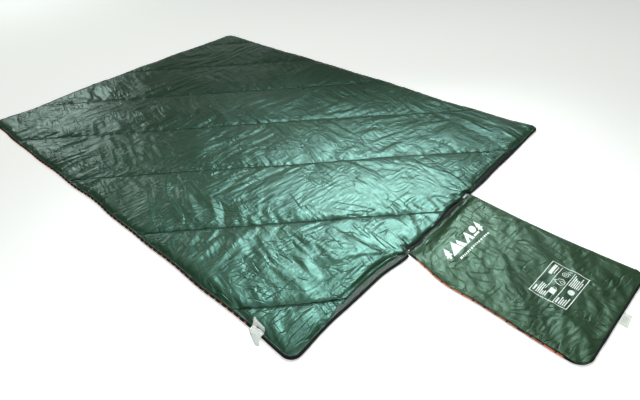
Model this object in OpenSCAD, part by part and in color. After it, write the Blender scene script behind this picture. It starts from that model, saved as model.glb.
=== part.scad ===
// Packable quilted blanket with a zipped stuff pouch sewn to the middle of one short edge.
// It lies open and flat on its underside. The origin is the centre of that underside,
// +X points to the pouch, +Y to the left long edge as seen from the foot end, +Z is up.
// Two side panels fold over the middle panel, and the pouch folds over the middle panel too.

/* [Blanket] */
// Length of the open blanket, without the pouch
blanket_l = 2000; // [1700:50:2200]
// Width of the open blanket
blanket_w = 1450; // [1300:50:1600]
// Radius of the blanket's corners
corner_r = 35; // [30:5:90]
// Height of the quilt between two stitch lines
loft = 18; // [14:1:24]
// Height of the quilt where it meets its binding
edge_h = 6; // [5:0.5:7]
// Width over which the quilt rises from its edge to its full loft
edge_slope = 45; // [30:5:60]
// Thickness of the top and bottom shells
shell_t = 1; // [0.6:0.1:1.2]
// Width of the binding around the quilt
binding_w = 6; // [4:1:10]
// Height of the binding
binding_h = 6.4; // [5.5:0.1:7]

/* [Quilting] */
// Distance between two diagonal stitch lines, measured along an edge
stitch_pitch = 495; // [350:5:600]
// Where the middle stitch line crosses the Y axis
stitch_shift = -10; // [-100:5:100]
// Height of the quilt along a stitch line
stitch_h = 7; // [6.5:0.5:9]
// Width from a stitch line to the full loft
stitch_flank = 50; // [30:5:80]
// Width of the stitching thread
thread_w = 1.6; // [1:0.2:3]
// Height of the stitching thread above the shell
thread_h = 0.8; // [0.5:0.1:1.2]

/* [Pouch] */
// Length of the pouch from the blanket's edge to its far end
pouch_l = 565; // [450:5:600]
// Width of the pouch at its mouth
pouch_w = 381; // [330:1:400]
// Width of the pouch at its far end
pouch_far_w = 416; // [320:1:430]
// Sideways place of the middle of the mouth
pouch_y = -43; // [-80:1:80]
// How far the far end lies to the side, as the empty pouch is laid down
pouch_lean = -52; // [-90:1:0]
// Radius of the pouch's far corners
pouch_corner_r = 40; // [15:5:60]
// Outside height of the pouch at its mouth
mouth_h = 13; // [12.4:0.2:15]
// Outside height of the pouch at its far end
far_h = 8; // [7:0.5:9]
// Thickness of the pouch's two panels
panel_t = 1; // [0.6:0.1:1.2]
// Width of the bound seam around the pouch
seam_w = 5; // [4:0.5:8]

/* [Zip] */
// Width of each zip tape
tape_w = 5; // [4:0.5:6]
// Radius of the zip's coils
coil_r = 1.3; // [1:0.1:1.4]
// Length of the slider
slider_l = 12; // [10:1:14]
// Length of the pull from its eye to its tip
pull_l = 26; // [18:1:32]
// Radius of the bar that the pull swings on
pull_bar_r = 0.7; // [0.6:0.05:0.8]

/* [Labels] */
// Where the care label sits along the long edge
label_x = 868; // [700:1:900]
// Width of the care label
label_w = 34; // [20:1:50]
// Where the small tag sits across the pouch's far end
tag_y = -89; // [-200:1:0]
// Width of the small tag
tag_w = 43; // [15:1:50]

/* [Hidden] */

green = [0.22, 0.36, 0.29];
pouch_green = [0.2, 0.31, 0.24];
lining_black = [0.08, 0.08, 0.08];
tape_grey = [0.3, 0.32, 0.31];
label_white = [0.92, 0.92, 0.9];

// Clear space between two solids that move apart
body_gap = 0.6;
// Clear space between two solids that slide or lie on each other
lay_gap = 0.3;
half_l = blanket_l / 2;
half_w = blanket_w / 2;
// A quarter of the width folds over, with room for the two edges to meet in the middle
fold_y = half_w / 2 + body_gap;
MIDDLE = [-fold_y + body_gap / 2, fold_y - body_gap / 2];
LEFT = [fold_y + body_gap / 2, half_w];
RIGHT = [-half_w, -fold_y - body_gap / 2];

// The stitch lines run at 45 degrees, and their places are measured across them
stitch_count = floor((half_l + half_w) / stitch_pitch);
stitch_flat = 2;
stitch_places = [for (k = [-stitch_count:stitch_count]) (k * stitch_pitch + stitch_shift) / sqrt(2)];
sweep = 2 * (blanket_l + blanket_w);

// The pouch turns about a line just outside the zip
zip_room = 13;
pouch_x0 = half_l + zip_room + body_gap / 2;
pouch_x1 = half_l + pouch_l;
back_t = 1.2;
tape_t = 0.8;
tape_z = 4.5;
coil_x = half_l + tape_w + coil_r;
pouch_coil_x = pouch_x0 + coil_r + lay_gap;
pouch_tape_x = pouch_coil_x + coil_r;
pouch_panel_x = pouch_tape_x + tape_w;
mouth_tape_z = mouth_h - tape_t;
zip_left = pouch_y + pouch_w / 2 - seam_w - 3;
zip_right = pouch_y - pouch_w / 2 + seam_w + 3;
stop_l = 4;

slider_y = zip_left - stop_l - slider_l / 2 - 1;
plate_t = 1.2;
channel_low = tape_z - coil_r - 0.4;
channel_high = tape_z + coil_r + 0.4;
slider_x0 = half_l + 1;
slider_x1 = half_l + zip_room - 2;
slider_top = channel_high + plate_t;
ear_t = 1;
eye_r = 1.6;
bar_z = slider_top + eye_r + lay_gap;
bar_x0 = slider_x0 + 1.5;
bar_x1 = slider_x1 - 1.5;

leaf_t = 0.5;
slope = (loft - edge_h) / (edge_slope - binding_w);

function arc(centre, r, from, to, steps = 6) =
  [for (i = [0:steps]) let (a = from + (to - from) * i / steps) centre + r * [cos(a), sin(a)]];

// The blanket's outline, moved in by a distance
function blanket_outline(inset) =
  let (x = half_l - corner_r, y = half_w - corner_r, r = corner_r - inset)
  concat(arc([x, y], r, 0, 90), arc([-x, y], r, 90, 180),
         arc([-x, -y], r, 180, 270), arc([x, -y], r, 270, 360));

function unit(v) = v / norm(v);

// A corner of an outline, rounded to a radius
function rounded(before, at, after, r) =
  let (a = unit(before - at), b = unit(after - at), half = acos(a * b) / 2,
       centre = at + unit(a + b) * r / sin(half),
       from = at + a * r / tan(half) - centre, start = atan2(from[1], from[0]))
  arc(centre, r, start, start + 180 - 2 * half);

// The pouch's corners, near right, far right, far left and near left, moved in at three sides
function pouch_corners(inset) =
  let (near = pouch_w / 2 - inset, far = pouch_far_w / 2 - inset, x1 = pouch_x1 - inset)
  [[pouch_x0, pouch_y - near], [x1, pouch_y + pouch_lean - far],
   [x1, pouch_y + pouch_lean + far], [pouch_x0, pouch_y + near]];

function pouch_outline(inset) =
  let (c = pouch_corners(inset), r = pouch_corner_r - inset)
  concat([c[0]], rounded(c[0], c[1], c[2], r), rounded(c[1], c[2], c[3], r), [c[3]]);

// A profile in X and Z, swept along Y
module sweep_y(points) rotate([90, 0, 0]) linear_extrude(sweep, center = true) polygon(points);

// A profile in Y and Z, swept along X between two places
module sweep_x(points, x0, x1)
  translate([x0, 0, 0]) rotate([90, 0, 90]) linear_extrude(x1 - x0) polygon(points);

// A profile measured across the stitch lines and in Z, swept along them
module sweep_stitch(points)
  rotate([0, 0, 135]) rotate([90, 0, 0]) linear_extrude(sweep, center = true) polygon(points);

// The rise from the edge to the full loft, as a profile across a blanket of this half width
function edge_profile(half, drop) =
  [[-half - 50, -1], [-half - 50, edge_h - drop], [-half + binding_w, edge_h - drop],
   [-half + edge_slope, loft - drop], [half - edge_slope, loft - drop],
   [half - binding_w, edge_h - drop], [half + 50, edge_h - drop], [half + 50, -1]];

// The grooves along the stitch lines, as a profile across them
function stitch_profile(drop) =
  concat([[-blanket_l, -1], [-blanket_l, loft - drop]],
         [for (s = stitch_places) each
            [[s - stitch_flank, loft - drop], [s - stitch_flat, stitch_h - drop],
             [s + stitch_flat, stitch_h - drop], [s + stitch_flank, loft - drop]]],
         [[blanket_l, loft - drop], [blanket_l, -1]]);

// Everything under the quilt's top surface, lowered by a distance
module under_surface(drop) {
  intersection() {
    sweep_y(edge_profile(half_l, drop));
    sweep_x(edge_profile(half_w, drop), -sweep / 2, sweep / 2);
    sweep_stitch(stitch_profile(drop));
  }
}

// A flat block of the blanket's outline, for one panel
module panel_block(span, inset, z0, z1) {
  intersection() {
    translate([0, 0, z0]) linear_extrude(z1 - z0) polygon(blanket_outline(inset));
    translate([-half_l, span[0], z0]) cube([blanket_l, span[1] - span[0], z1 - z0]);
  }
}

module bottom_shell(span) color(lining_black) panel_block(span, binding_w, 0, shell_t);

module batting(span) {
  color("ivory") intersection() {
    panel_block(span, binding_w, shell_t, loft);
    under_surface(shell_t);
  }
}

module top_shell(span) {
  color(green) difference() {
    intersection() {
      panel_block(span, binding_w, shell_t, loft + 1);
      under_surface(0);
    }
    under_surface(shell_t);
  }
}

// The thread along each stitch line, on the bottom of its groove
module quilting(span) {
  color(pouch_green) intersection() {
    panel_block(span, 2 * binding_w, stitch_h, stitch_h + thread_h);
    for (s = stitch_places)
      sweep_stitch([[s - thread_w / 2, 0], [s - thread_w / 2, loft],
                    [s + thread_w / 2, loft], [s + thread_w / 2, 0]]);
  }
}

module binding_ring() {
  difference() {
    linear_extrude(binding_h) polygon(blanket_outline(0));
    translate([0, 0, -1]) linear_extrude(binding_h + 2) polygon(blanket_outline(binding_w));
  }
}

// The binding along a short edge, side 1 at the pouch and -1 at the foot, mitred at the corners
module binding_short(side, span) {
  color(lining_black) intersection() {
    binding_ring();
    linear_extrude(binding_h)
      polygon([[side * half_l, half_w], [side * half_l, -half_w],
               [side * (half_l - half_w), 0]]);
    translate([-half_l, span[0], 0]) cube([blanket_l, span[1] - span[0], binding_h]);
  }
}

// The binding along a long edge, side 1 at the left and -1 at the right
module binding_long(side) {
  color(lining_black) intersection() {
    binding_ring();
    linear_extrude(binding_h)
      polygon([[-half_l, side * half_w], [half_l, side * half_w],
               [half_l - half_w, 0], [half_w - half_l, 0]]);
  }
}

// The pouch's back panel is sewn to the blanket's edge by this strip, under the zip
module pouch_root_strip() {
  color(lining_black)
    translate([half_l, pouch_y - pouch_w / 2, 0])
      cube([zip_room - body_gap / 2, pouch_w, back_t]);
}

module pouch_back() color(lining_black) linear_extrude(back_t) polygon(pouch_outline(seam_w));

// The front panel slopes from the raised mouth to the flat far end
function pouch_top(x) = mouth_h + (far_h - mouth_h) * (x - pouch_x0) / (pouch_x1 - pouch_x0);

module pouch_front() {
  color(pouch_green) intersection() {
    linear_extrude(2 * mouth_h) polygon(pouch_outline(seam_w));
    sweep_y([[pouch_panel_x, pouch_top(pouch_panel_x) - panel_t],
             [pouch_x1, pouch_top(pouch_x1) - panel_t],
             [pouch_x1, pouch_top(pouch_x1)], [pouch_panel_x, pouch_top(pouch_panel_x)]]);
  }
}

// The bound seam around the pouch, under the height of its front panel
module pouch_seam_ring() {
  intersection() {
    difference() {
      linear_extrude(2 * mouth_h) polygon(pouch_outline(0));
      translate([0, 0, -1]) linear_extrude(2 * mouth_h + 2) polygon(pouch_outline(seam_w));
    }
    sweep_y([[pouch_x0, 0], [pouch_x1, 0], [pouch_x1, pouch_top(pouch_x1)],
             [pouch_x0, pouch_top(pouch_x0)]]);
  }
}

// One side of the seam, between the lines that halve the far corners
module pouch_seam(region) {
  color(lining_black) intersection() {
    pouch_seam_ring();
    linear_extrude(2 * mouth_h) polygon(region);
  }
}

corners = pouch_corners(0);
pouch_inner = [pouch_x1 - pouch_far_w / 2, pouch_y + pouch_lean];
far_right = corners[1] + (corners[1] - pouch_inner) / 4;
far_left = corners[2] + (corners[2] - pouch_inner) / 4;
near_middle = [pouch_x0, pouch_y];

module pouch_seam_left()
  pouch_seam([near_middle, pouch_inner, far_left, corners[3] + [0, seam_w]]);
module pouch_seam_right()
  pouch_seam([near_middle, pouch_inner, far_right, corners[0] - [0, seam_w]]);
module pouch_seam_far() pouch_seam([pouch_inner, far_left, far_right]);

// A rod along Y
module rod_y(r, x, z, y0, y1)
  translate([x, y1, z]) rotate([90, 0, 0]) cylinder(r = r, h = y1 - y0, $fn = 32);

// A rod along X
module rod_x(r, y, z, x0, x1)
  translate([x0, y, z]) rotate([0, 90, 0]) cylinder(r = r, h = x1 - x0, $fn = 32);

module zip_tape_quilt() {
  color(tape_grey)
    translate([half_l, zip_right, tape_z - tape_t / 2])
      cube([tape_w, zip_left - zip_right, tape_t]);
}

module zip_coil_quilt()
  color("black") rod_y(coil_r, coil_x, tape_z, zip_right + stop_l, zip_left - stop_l);

module zip_tape_pouch() {
  color(tape_grey)
    translate([pouch_tape_x, zip_right, mouth_tape_z])
      cube([tape_w, zip_left - zip_right, tape_t]);
}

module zip_coil_pouch()
  color("black")
    rod_y(coil_r, pouch_coil_x, mouth_tape_z + tape_t / 2, zip_right + stop_l, zip_left - stop_l);

// A stop at one end of the quilt's half of the zip
module zip_stop(y0) {
  color("silver")
    translate([half_l + tape_w, y0, tape_z - coil_r])
      cube([2 * coil_r, stop_l, 2 * coil_r]);
}

// A folded tab of grey tape sewn over each end of the zip, from the quilt's slope to its binding
module zip_end_tab(y0) {
  tab_l = 12;
  tab_t = 1.6;
  inner = half_l - binding_w;
  low = edge_h + lay_gap;
  color(tape_grey) intersection() {
    sweep_y([[inner - tab_l, low + slope * tab_l], [inner, binding_h], [half_l - 0.5, binding_h],
             [half_l - 0.5, binding_h + tab_t], [inner, binding_h + tab_t],
             [inner - tab_l, low + slope * tab_l + tab_t]]);
    translate([half_l - 2 * tab_l, y0, 0]) cube([2 * tab_l, 10, 2 * loft]);
  }
}

// The slider: two plates joined by a wall, open towards the quilt, with ears for the pull
module zip_slider() {
  color("dimgray") translate([0, slider_y - slider_l / 2, 0]) {
    translate([slider_x0, 0, channel_low - plate_t])
      cube([slider_x1 - slider_x0, slider_l, plate_t]);
    translate([slider_x0, 0, channel_high])
      cube([slider_x1 - slider_x0, slider_l, plate_t]);
    translate([coil_x + coil_r + 0.4, 0, channel_low - plate_t])
      cube([1.6, slider_l, slider_top - channel_low + plate_t]);
    for (x = [bar_x0 - ear_t, bar_x1])
      translate([x, slider_l / 2 - 1.6, slider_top]) cube([ear_t, 3.2, bar_z - slider_top + 1.2]);
  }
  color("dimgray") rod_x(pull_bar_r, slider_y, bar_z, bar_x0 - ear_t, bar_x1 + ear_t);
}

// The pull: an eye around the slider's bar and a flat tongue with a finger hole
module zip_pull() {
  pull_x0 = bar_x0 + 0.2;
  pull_x1 = bar_x1 - 0.2;
  color("dimgray") difference() {
    union() {
      rod_x(eye_r, slider_y, bar_z, pull_x0, pull_x1);
      translate([pull_x0, slider_y - pull_l, bar_z - 0.8])
        cube([pull_x1 - pull_x0, pull_l, 1.6]);
    }
    rod_x(pull_bar_r + 0.08, slider_y, bar_z, pull_x0 - 1, pull_x1 + 1);
    translate([(pull_x0 + pull_x1) / 2, slider_y - pull_l + 4, bar_z - 3])
      cylinder(r = 1.4, h = 6, $fn = 32);
  }
}

// The care label is sewn in at the inner edge of the binding
label_y = -half_w + binding_w;
hang_l = 26;
leaf_l = 32;

// The upper leaf lies on the quilt's slope
module label_top_leaf() {
  low = edge_h + lay_gap + 0.3;
  color(label_white)
    sweep_x([[label_y + 1, low + slope], [label_y + leaf_l, low + slope * leaf_l],
             [label_y + leaf_l, low + slope * leaf_l + leaf_t], [label_y + 1, low + slope + leaf_t]],
            label_x - label_w / 2, label_x + label_w / 2);
}

// The lower leaf crosses the binding and hangs to the ground
module label_hanging_leaf() {
  low = binding_h + lay_gap;
  bend = -half_w - 0.8;
  tip = -half_w - hang_l;
  color(label_white)
    sweep_x([[label_y, low], [label_y, low + leaf_t], [bend, low + leaf_t],
             [tip, 0.4 + leaf_t], [tip, 0.4], [bend, low]],
            label_x - label_w / 2 + 5, label_x + label_w / 2 + 5);
}

// The tag hangs from the pouch's far seam to the ground
module pouch_tag() {
  tag_l = 20;
  top = far_h / 2;
  color(label_white) intersection() {
    sweep_y([[pouch_x1 + 0.4, top], [pouch_x1 + tag_l, 0.4], [pouch_x1 + tag_l, 0.4 + leaf_t],
             [pouch_x1 + 0.4, top + leaf_t]]);
    translate([pouch_x1, tag_y - tag_w / 2, 0]) cube([2 * tag_l, tag_w, far_h]);
  }
}

bottom_shell(MIDDLE);  // bottom_shell_middle
bottom_shell(LEFT);  // bottom_shell_left
bottom_shell(RIGHT);  // bottom_shell_right
batting(MIDDLE);  // batting_middle
batting(LEFT);  // batting_left
batting(RIGHT);  // batting_right
top_shell(MIDDLE);  // top_shell_middle
top_shell(LEFT);  // top_shell_left
top_shell(RIGHT);  // top_shell_right
quilting(MIDDLE);  // quilting_middle
quilting(LEFT);  // quilting_left
quilting(RIGHT);  // quilting_right
binding_short(1, MIDDLE);  // binding_pouch_edge_middle
binding_short(1, LEFT);  // binding_pouch_edge_left
binding_short(1, RIGHT);  // binding_pouch_edge_right
binding_short(-1, MIDDLE);  // binding_foot_edge_middle
binding_short(-1, LEFT);  // binding_foot_edge_left
binding_short(-1, RIGHT);  // binding_foot_edge_right
binding_long(1);  // binding_long_edge_left
binding_long(-1);  // binding_long_edge_right
pouch_root_strip();
pouch_back();
pouch_front();
pouch_seam_left();
pouch_seam_right();
pouch_seam_far();
zip_tape_quilt();
zip_coil_quilt();
zip_tape_pouch();
zip_coil_pouch();
zip_stop(zip_left - stop_l);  // zip_stop_left
zip_stop(zip_right);  // zip_stop_right
zip_end_tab(zip_left - 2);  // zip_end_tab_left
zip_end_tab(zip_right - 8);  // zip_end_tab_right
zip_slider();
zip_pull();
label_top_leaf();
label_hanging_leaf();
pouch_tag();
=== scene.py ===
"""Looks of a packable quilted blanket, laid open on the floor with its stuff pouch off one short edge."""

import math

import bmesh
import bpy
import numpy as np
from mathutils import Matrix, Vector


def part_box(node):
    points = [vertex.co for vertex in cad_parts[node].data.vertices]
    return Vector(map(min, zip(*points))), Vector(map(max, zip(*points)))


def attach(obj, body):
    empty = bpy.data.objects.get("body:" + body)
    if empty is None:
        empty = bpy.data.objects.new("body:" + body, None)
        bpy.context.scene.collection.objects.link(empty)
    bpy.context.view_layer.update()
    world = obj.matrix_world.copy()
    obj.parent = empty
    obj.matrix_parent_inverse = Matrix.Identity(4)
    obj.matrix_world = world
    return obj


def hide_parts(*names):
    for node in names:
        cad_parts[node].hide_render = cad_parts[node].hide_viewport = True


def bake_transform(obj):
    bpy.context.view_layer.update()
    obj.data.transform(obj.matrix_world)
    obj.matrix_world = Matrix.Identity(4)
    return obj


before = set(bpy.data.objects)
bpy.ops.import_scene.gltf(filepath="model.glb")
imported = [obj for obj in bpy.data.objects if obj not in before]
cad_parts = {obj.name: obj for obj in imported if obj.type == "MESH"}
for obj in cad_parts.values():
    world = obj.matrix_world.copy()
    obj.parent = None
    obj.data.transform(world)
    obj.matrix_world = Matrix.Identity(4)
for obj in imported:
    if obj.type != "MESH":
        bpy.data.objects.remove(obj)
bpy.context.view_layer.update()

MM = 0.001
ROOT2 = math.sqrt(2)

# ---------------------------------------------------------------- sizes, in millimetres, from the frame


def low(node, axis):
    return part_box(node)[0][axis] / MM


def high(node, axis):
    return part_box(node)[1][axis] / MM


HALF_L = high("binding_pouch_edge_middle", 0)
HALF_W = high("binding_long_edge_left", 1)
CORNER_R = 35.0
POUCH_X0 = low("pouch_back", 0)
POUCH_X1 = high("pouch_seam_far", 0)
MOUTH = (low("pouch_root_strip", 1), high("pouch_root_strip", 1))
FAR_W = 416.0
FAR_Y = (MOUTH[0] + MOUTH[1]) / 2 - 52.0
POUCH_R = 40.0
PANEL_INSET = 2.5  # the pouch's front panel ends this far inside its edge, under the binding
PRINT_LIFT = 0.45  # the printed pictures lie this far above the panel
ZIP_ENDS = (low("zip_tape_quilt", 1), high("zip_tape_quilt", 1))

# The stitch lines run at 45 degrees, through y = x + SEAM_SHIFT + k * SEAM_PITCH
SEAM_PITCH = 495.0
SEAM_SHIFT = -10.0
SEAM_Z = 10.0
EDGE_Z = 7.4

# The pouch's mouth gathers the blanket's edge at its two ends
GATHERS = (-233.0, 148.0)


# ---------------------------------------------------------------- camera, floor and light


def make_camera():
    data = bpy.data.cameras.new("camera")
    data.lens = 27.48
    data.sensor_width = 36.0
    data.clip_start = 0.01
    data.clip_end = 100.0
    camera = bpy.data.objects.new("camera", data)
    bpy.context.scene.collection.objects.link(camera)
    place = Vector((1.5729, -1.1718, 1.0407))
    aim = Vector((0.6197, -0.1996, 0.0))
    roll = math.radians(-3.73)
    camera.location = place
    turn = (aim - place).to_track_quat("-Z", "Y").to_matrix() @ Matrix.Rotation(roll, 3, "Z")
    camera.rotation_mode = "QUATERNION"
    camera.rotation_quaternion = turn.to_quaternion()
    bpy.context.scene.camera = camera


def make_floor():
    mesh = bpy.data.meshes.new("floor")
    size = 14.0
    corners = [(-size, -size, 0), (size, -size, 0), (size, size, 0), (-size, size, 0)]
    mesh.from_pydata(corners, [], [(0, 1, 2, 3)])
    floor = bpy.data.objects.new("floor", mesh)
    floor.location.z = -0.0005
    bpy.context.scene.collection.objects.link(floor)
    material = bpy.data.materials.new("floor")
    material.use_nodes = True
    shader = material.node_tree.nodes["Principled BSDF"]
    shader.inputs["Base Color"].default_value = (0.9, 0.9, 0.9, 1)
    shader.inputs["Emission Color"].default_value = (1, 1, 1, 1)
    shader.inputs["Emission Strength"].default_value = 0.42
    shader.inputs["Roughness"].default_value = 0.9
    shader.inputs["Specular IOR Level"].default_value = 0.1
    mesh.materials.append(material)


def area_light(name, place, aim, width, height, power, colour, spread=180):
    data = bpy.data.lights.new(name, "AREA")
    data.shape = "RECTANGLE"
    data.size = width
    data.size_y = height
    data.energy = power
    data.color = colour
    data.spread = math.radians(spread)
    light = bpy.data.objects.new(name, data)
    light.location = place
    light.rotation_mode = "QUATERNION"
    light.rotation_quaternion = (Vector(aim) - Vector(place)).to_track_quat("-Z", "Y")
    bpy.context.scene.collection.objects.link(light)


def make_lights():
    # A window's patch of light, mirrored by the quilt near the pouch's mouth: a bright middle in a wider,
    # fainter panel
    aim = (0.94, -0.35, 0.0)
    area_light("window", (0.02, 1.06, 1.5), aim, 0.85, 0.75, 2.0, (0.83, 0.99, 1.0), 48)
    area_light("window_glow", (0.08, 0.9, 1.52), aim, 1.7, 1.3, 5.3, (0.84, 0.99, 1.0), 48)
    area_light("room_glow", (-0.1, 1.0, 1.54), aim, 2.8, 2.1, 1.4, (0.88, 1.0, 0.97), 180)
    area_light("far_window", (-3.8, 0.3, 1.4), (-0.7, -0.5, 0.0), 1.1, 0.6, 15, (0.9, 1.0, 0.95))
    area_light("far_glow", (-4.3, 3.3, 1.5), (-0.8, 0.5, 0.0), 1.3, 0.8, 3, (0.9, 1.0, 0.95))
    area_light("overhead", (0.6, -0.4, 3.2), (0.3, -0.1, 0.0), 3.4, 3.4, 52, (1.0, 1.0, 0.96))
    world = bpy.data.worlds.new("world")
    world.use_nodes = True
    background = world.node_tree.nodes["Background"]
    background.inputs["Color"].default_value = (0.85, 1.0, 0.8, 1)
    tree = world.node_tree
    place = tree.nodes.new("ShaderNodeTexCoord")
    clouds = tree.nodes.new("ShaderNodeTexNoise")
    clouds.inputs["Scale"].default_value = 3.2
    clouds.inputs["Detail"].default_value = 1.0
    level = tree.nodes.new("ShaderNodeMapRange")
    for socket, value in zip(("From Min", "From Max", "To Min", "To Max"), (0.38, 0.66, 0.02, 0.28)):
        level.inputs[socket].default_value = value
    tree.links.new(place.outputs["Generated"], clouds.inputs["Vector"])
    tree.links.new(clouds.outputs["Fac"], level.inputs["Value"])
    tree.links.new(level.outputs[0], background.inputs["Strength"])
    bpy.context.scene.world = world
    settings = bpy.context.scene.view_settings
    settings.view_transform = "Standard"
    settings.look = "None"


# ---------------------------------------------------------------- cloth


def smooth(t):
    t = np.clip(t, 0, 1)
    return t * t * (3 - 2 * t)


def soft_noise(rng, shape, cell):
    """Random heights at every `cell` nodes of a grid, joined by smooth curves."""
    ny, nx = shape
    grid = rng.standard_normal((int(ny / cell) + 4, int(nx / cell) + 4)).astype(np.float32)

    def between(a, n):
        t = np.arange(n) / cell
        i = t.astype(int)
        f = (t - i)[:, None]
        p0, p1, p2, p3 = (a[i + k] for k in range(4))
        bend = 2 * p0 - 5 * p1 + 4 * p2 - p3 + f * (3 * (p1 - p2) + p3 - p0)
        return p1 + 0.5 * f * (p2 - p0 + f * bend)

    return between(between(grid, ny).T, nx).T.astype(np.float32)


def facets(s, t, seed):
    """Heights of a crumpled sheet of flat triangles of size 1, at places s and t."""
    n = 97
    table = np.random.default_rng(seed).standard_normal((n, n)).astype(np.float32)
    a = s - 0.5 * t
    i, j = np.floor(a).astype(int), np.floor(t).astype(int)
    fa, fb = a - i, t - j

    def corner(di, dj):
        return table[(i + di) % n, (j + dj) % n]

    lower = corner(0, 0) * (1 - fa - fb) + corner(1, 0) * fa + corner(0, 1) * fb
    upper = corner(1, 1) * (fa + fb - 1) + corner(1, 0) * (1 - fb) + corner(0, 1) * (1 - fa)
    return np.where(fa + fb > 1, upper, lower).astype(np.float32)


def families(ny, nx):
    """The edges of a grid as slices of their first and second ends, in passes that share no node, with a
    stiffness."""
    whole = slice(None)

    def every_other(n, k):
        pairs = (n - k) // 2
        return slice(k, k + 2 * pairs - 1, 2), slice(k + 1, k + 2 * pairs, 2)

    for k in (0, 1):
        a, b = every_other(nx, k)
        yield (whole, a), (whole, b), 1.0
        a, b = every_other(ny, k)
        yield (a, whole), (b, whole), 1.0
        yield (a, slice(0, nx - 1)), (b, slice(1, nx)), 0.7
        yield (a, slice(1, nx)), (b, slice(0, nx - 1)), 0.7


def rest_length(a, b, x, y, along, across, sideways):
    """Length of the cloth between two sets of nodes: along and across are the excess in the stitch lines'
    direction and square to it, and sideways the excess towards y."""
    dx, dy = x[b] - x[a], (y[b] - y[a]) * (1 + (sideways[a] + sideways[b]) / 2)
    p, q = (dx + dy) / ROOT2, (dy - dx) / ROOT2
    e, f = (along[a] + along[b]) / 2, (across[a] + across[b]) / 2
    return np.sqrt((p * (1 + e)) ** 2 + (q * (1 + f)) ** 2).astype(np.float32)


def settle(p, free, base, cloth, steps, bend, pull, floor_z, top_z):
    """Relaxes the grid p of points until the cloth keeps its lengths, while it is drawn softly to the heights
    of base."""
    ny, nx, _ = p.shape
    weight = free.astype(np.float32)
    links = [(a, b, rest_length(a, b, *cloth), k) for a, b, k in families(ny, nx)]
    links = [(a, b, r, k, np.maximum(weight[a] + weight[b], 1e-6)) for a, b, r, k in links]
    v = np.zeros_like(p)
    for _ in range(steps):
        old = p.copy()
        v *= 0.88
        v[..., 2] -= pull * (p[..., 2] - base)
        p += v * weight[..., None]
        for _ in range(6):
            for a, b, rest, stiff, share in links:
                pa, pb = p[a], p[b]
                d = pb - pa
                length = np.sqrt(d[..., 0] ** 2 + d[..., 1] ** 2 + d[..., 2] ** 2)
                d *= ((length - rest) / (length * share) * stiff)[..., None]
                pa += d * weight[a][..., None]
                pb -= d * weight[b][..., None]
            z = p[..., 2]
            lap = np.zeros_like(z)
            lap[1:-1] += z[2:] + z[:-2] - 2 * z[1:-1]
            lap[:, 1:-1] += z[:, 2:] + z[:, :-2] - 2 * z[:, 1:-1]
            twice = np.zeros_like(z)
            twice[1:-1] += lap[2:] + lap[:-2] - 2 * lap[1:-1]
            twice[:, 1:-1] += lap[:, 2:] + lap[:, :-2] - 2 * lap[:, 1:-1]
            z -= bend * twice * weight
            np.clip(z, floor_z, top_z, out=z)
        v = p - old
    return p


def finer(p):
    """The same grid with twice as many cells each way."""
    ny, nx, c = p.shape
    q = np.zeros((2 * ny - 1, 2 * nx - 1, c), np.float32)
    q[::2, ::2] = p
    q[1::2, ::2] = 0.5 * (p[1:] + p[:-1])
    q[:, 1::2] = 0.5 * (q[:, 2::2] + q[:, :-1:2])
    return q


def slopes(z):
    """Slopes of a height grid towards +x and +y, per cell."""
    gx, gy = np.zeros_like(z), np.zeros_like(z)
    gx[:, :-1] = z[:, 1:] - z[:, :-1]
    gy[:-1] = z[1:] - z[:-1]
    return gx, gy


def solve_heights(rise, border):
    """The height grid with this Laplacian inside and these heights on its border."""
    ny, nx = rise.shape
    ring = border.copy()
    ring[1:-1, 1:-1] = 0
    inner = rise[1:-1, 1:-1].astype(np.float64)
    inner -= ring[:-2, 1:-1] + ring[2:, 1:-1] + ring[1:-1, :-2] + ring[1:-1, 2:]

    def sines(a):
        n = a.shape[-1]
        odd = np.concatenate([np.zeros_like(a[..., :1]), a, np.zeros_like(a[..., :1]), -a[..., ::-1]], -1)
        return -np.fft.rfft(odd, axis=-1).imag[..., 1 : n + 1] / 2

    hat = sines(sines(inner).T).T
    ky = 2 * np.cos(np.pi * np.arange(1, ny - 1) / (ny - 1)) - 2
    kx = 2 * np.cos(np.pi * np.arange(1, nx - 1) / (nx - 1)) - 2
    hat /= ky[:, None] + kx[None, :]
    out = ring.astype(np.float64)
    out[1:-1, 1:-1] = sines(sines(hat).T).T * 4 / ((ny - 1) * (nx - 1))
    return out.astype(np.float32)


def creased(z, rounds, share):
    """Flattens the soft parts of a crumpled height grid into facets with sharp creases between them."""
    gx, gy = slopes(z)
    for _ in range(rounds):
        steps = []
        for axis in (0, 1):
            dx, dy = np.diff(gx, axis=axis), np.diff(gy, axis=axis)
            steps.append((axis, dx, dy))
        limit = np.quantile(np.hypot(steps[0][1], steps[0][2]), share) + 1e-6
        for axis, dx, dy in steps:
            flow = 0.22 / (1 + (dx**2 + dy**2) / limit**2)
            for g, d in ((gx, dx), (gy, dy)):
                move = flow * d
                if axis == 0:
                    g[:-1] += move
                    g[1:] -= move
                else:
                    g[:, :-1] += move
                    g[:, 1:] -= move
    rise = np.zeros_like(z)
    rise[:, 1:] += gx[:, 1:] - gx[:, :-1]
    rise[1:] += gy[1:] - gy[:-1]
    return solve_heights(rise, z)


# ---------------------------------------------------------------- the quilt's top


GRID = 5.0
TOP_X = 1000.0
TOP_Y = 720.0


def seam_distance(x, y):
    pitch = SEAM_PITCH / ROOT2
    s = (y - x - SEAM_SHIFT) / ROOT2
    return np.abs((s + pitch / 2) % pitch - pitch / 2)


def edge_distance(x, y):
    return np.minimum(np.minimum(x + TOP_X, TOP_X - x), np.minimum(y + TOP_Y, TOP_Y - y))


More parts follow.
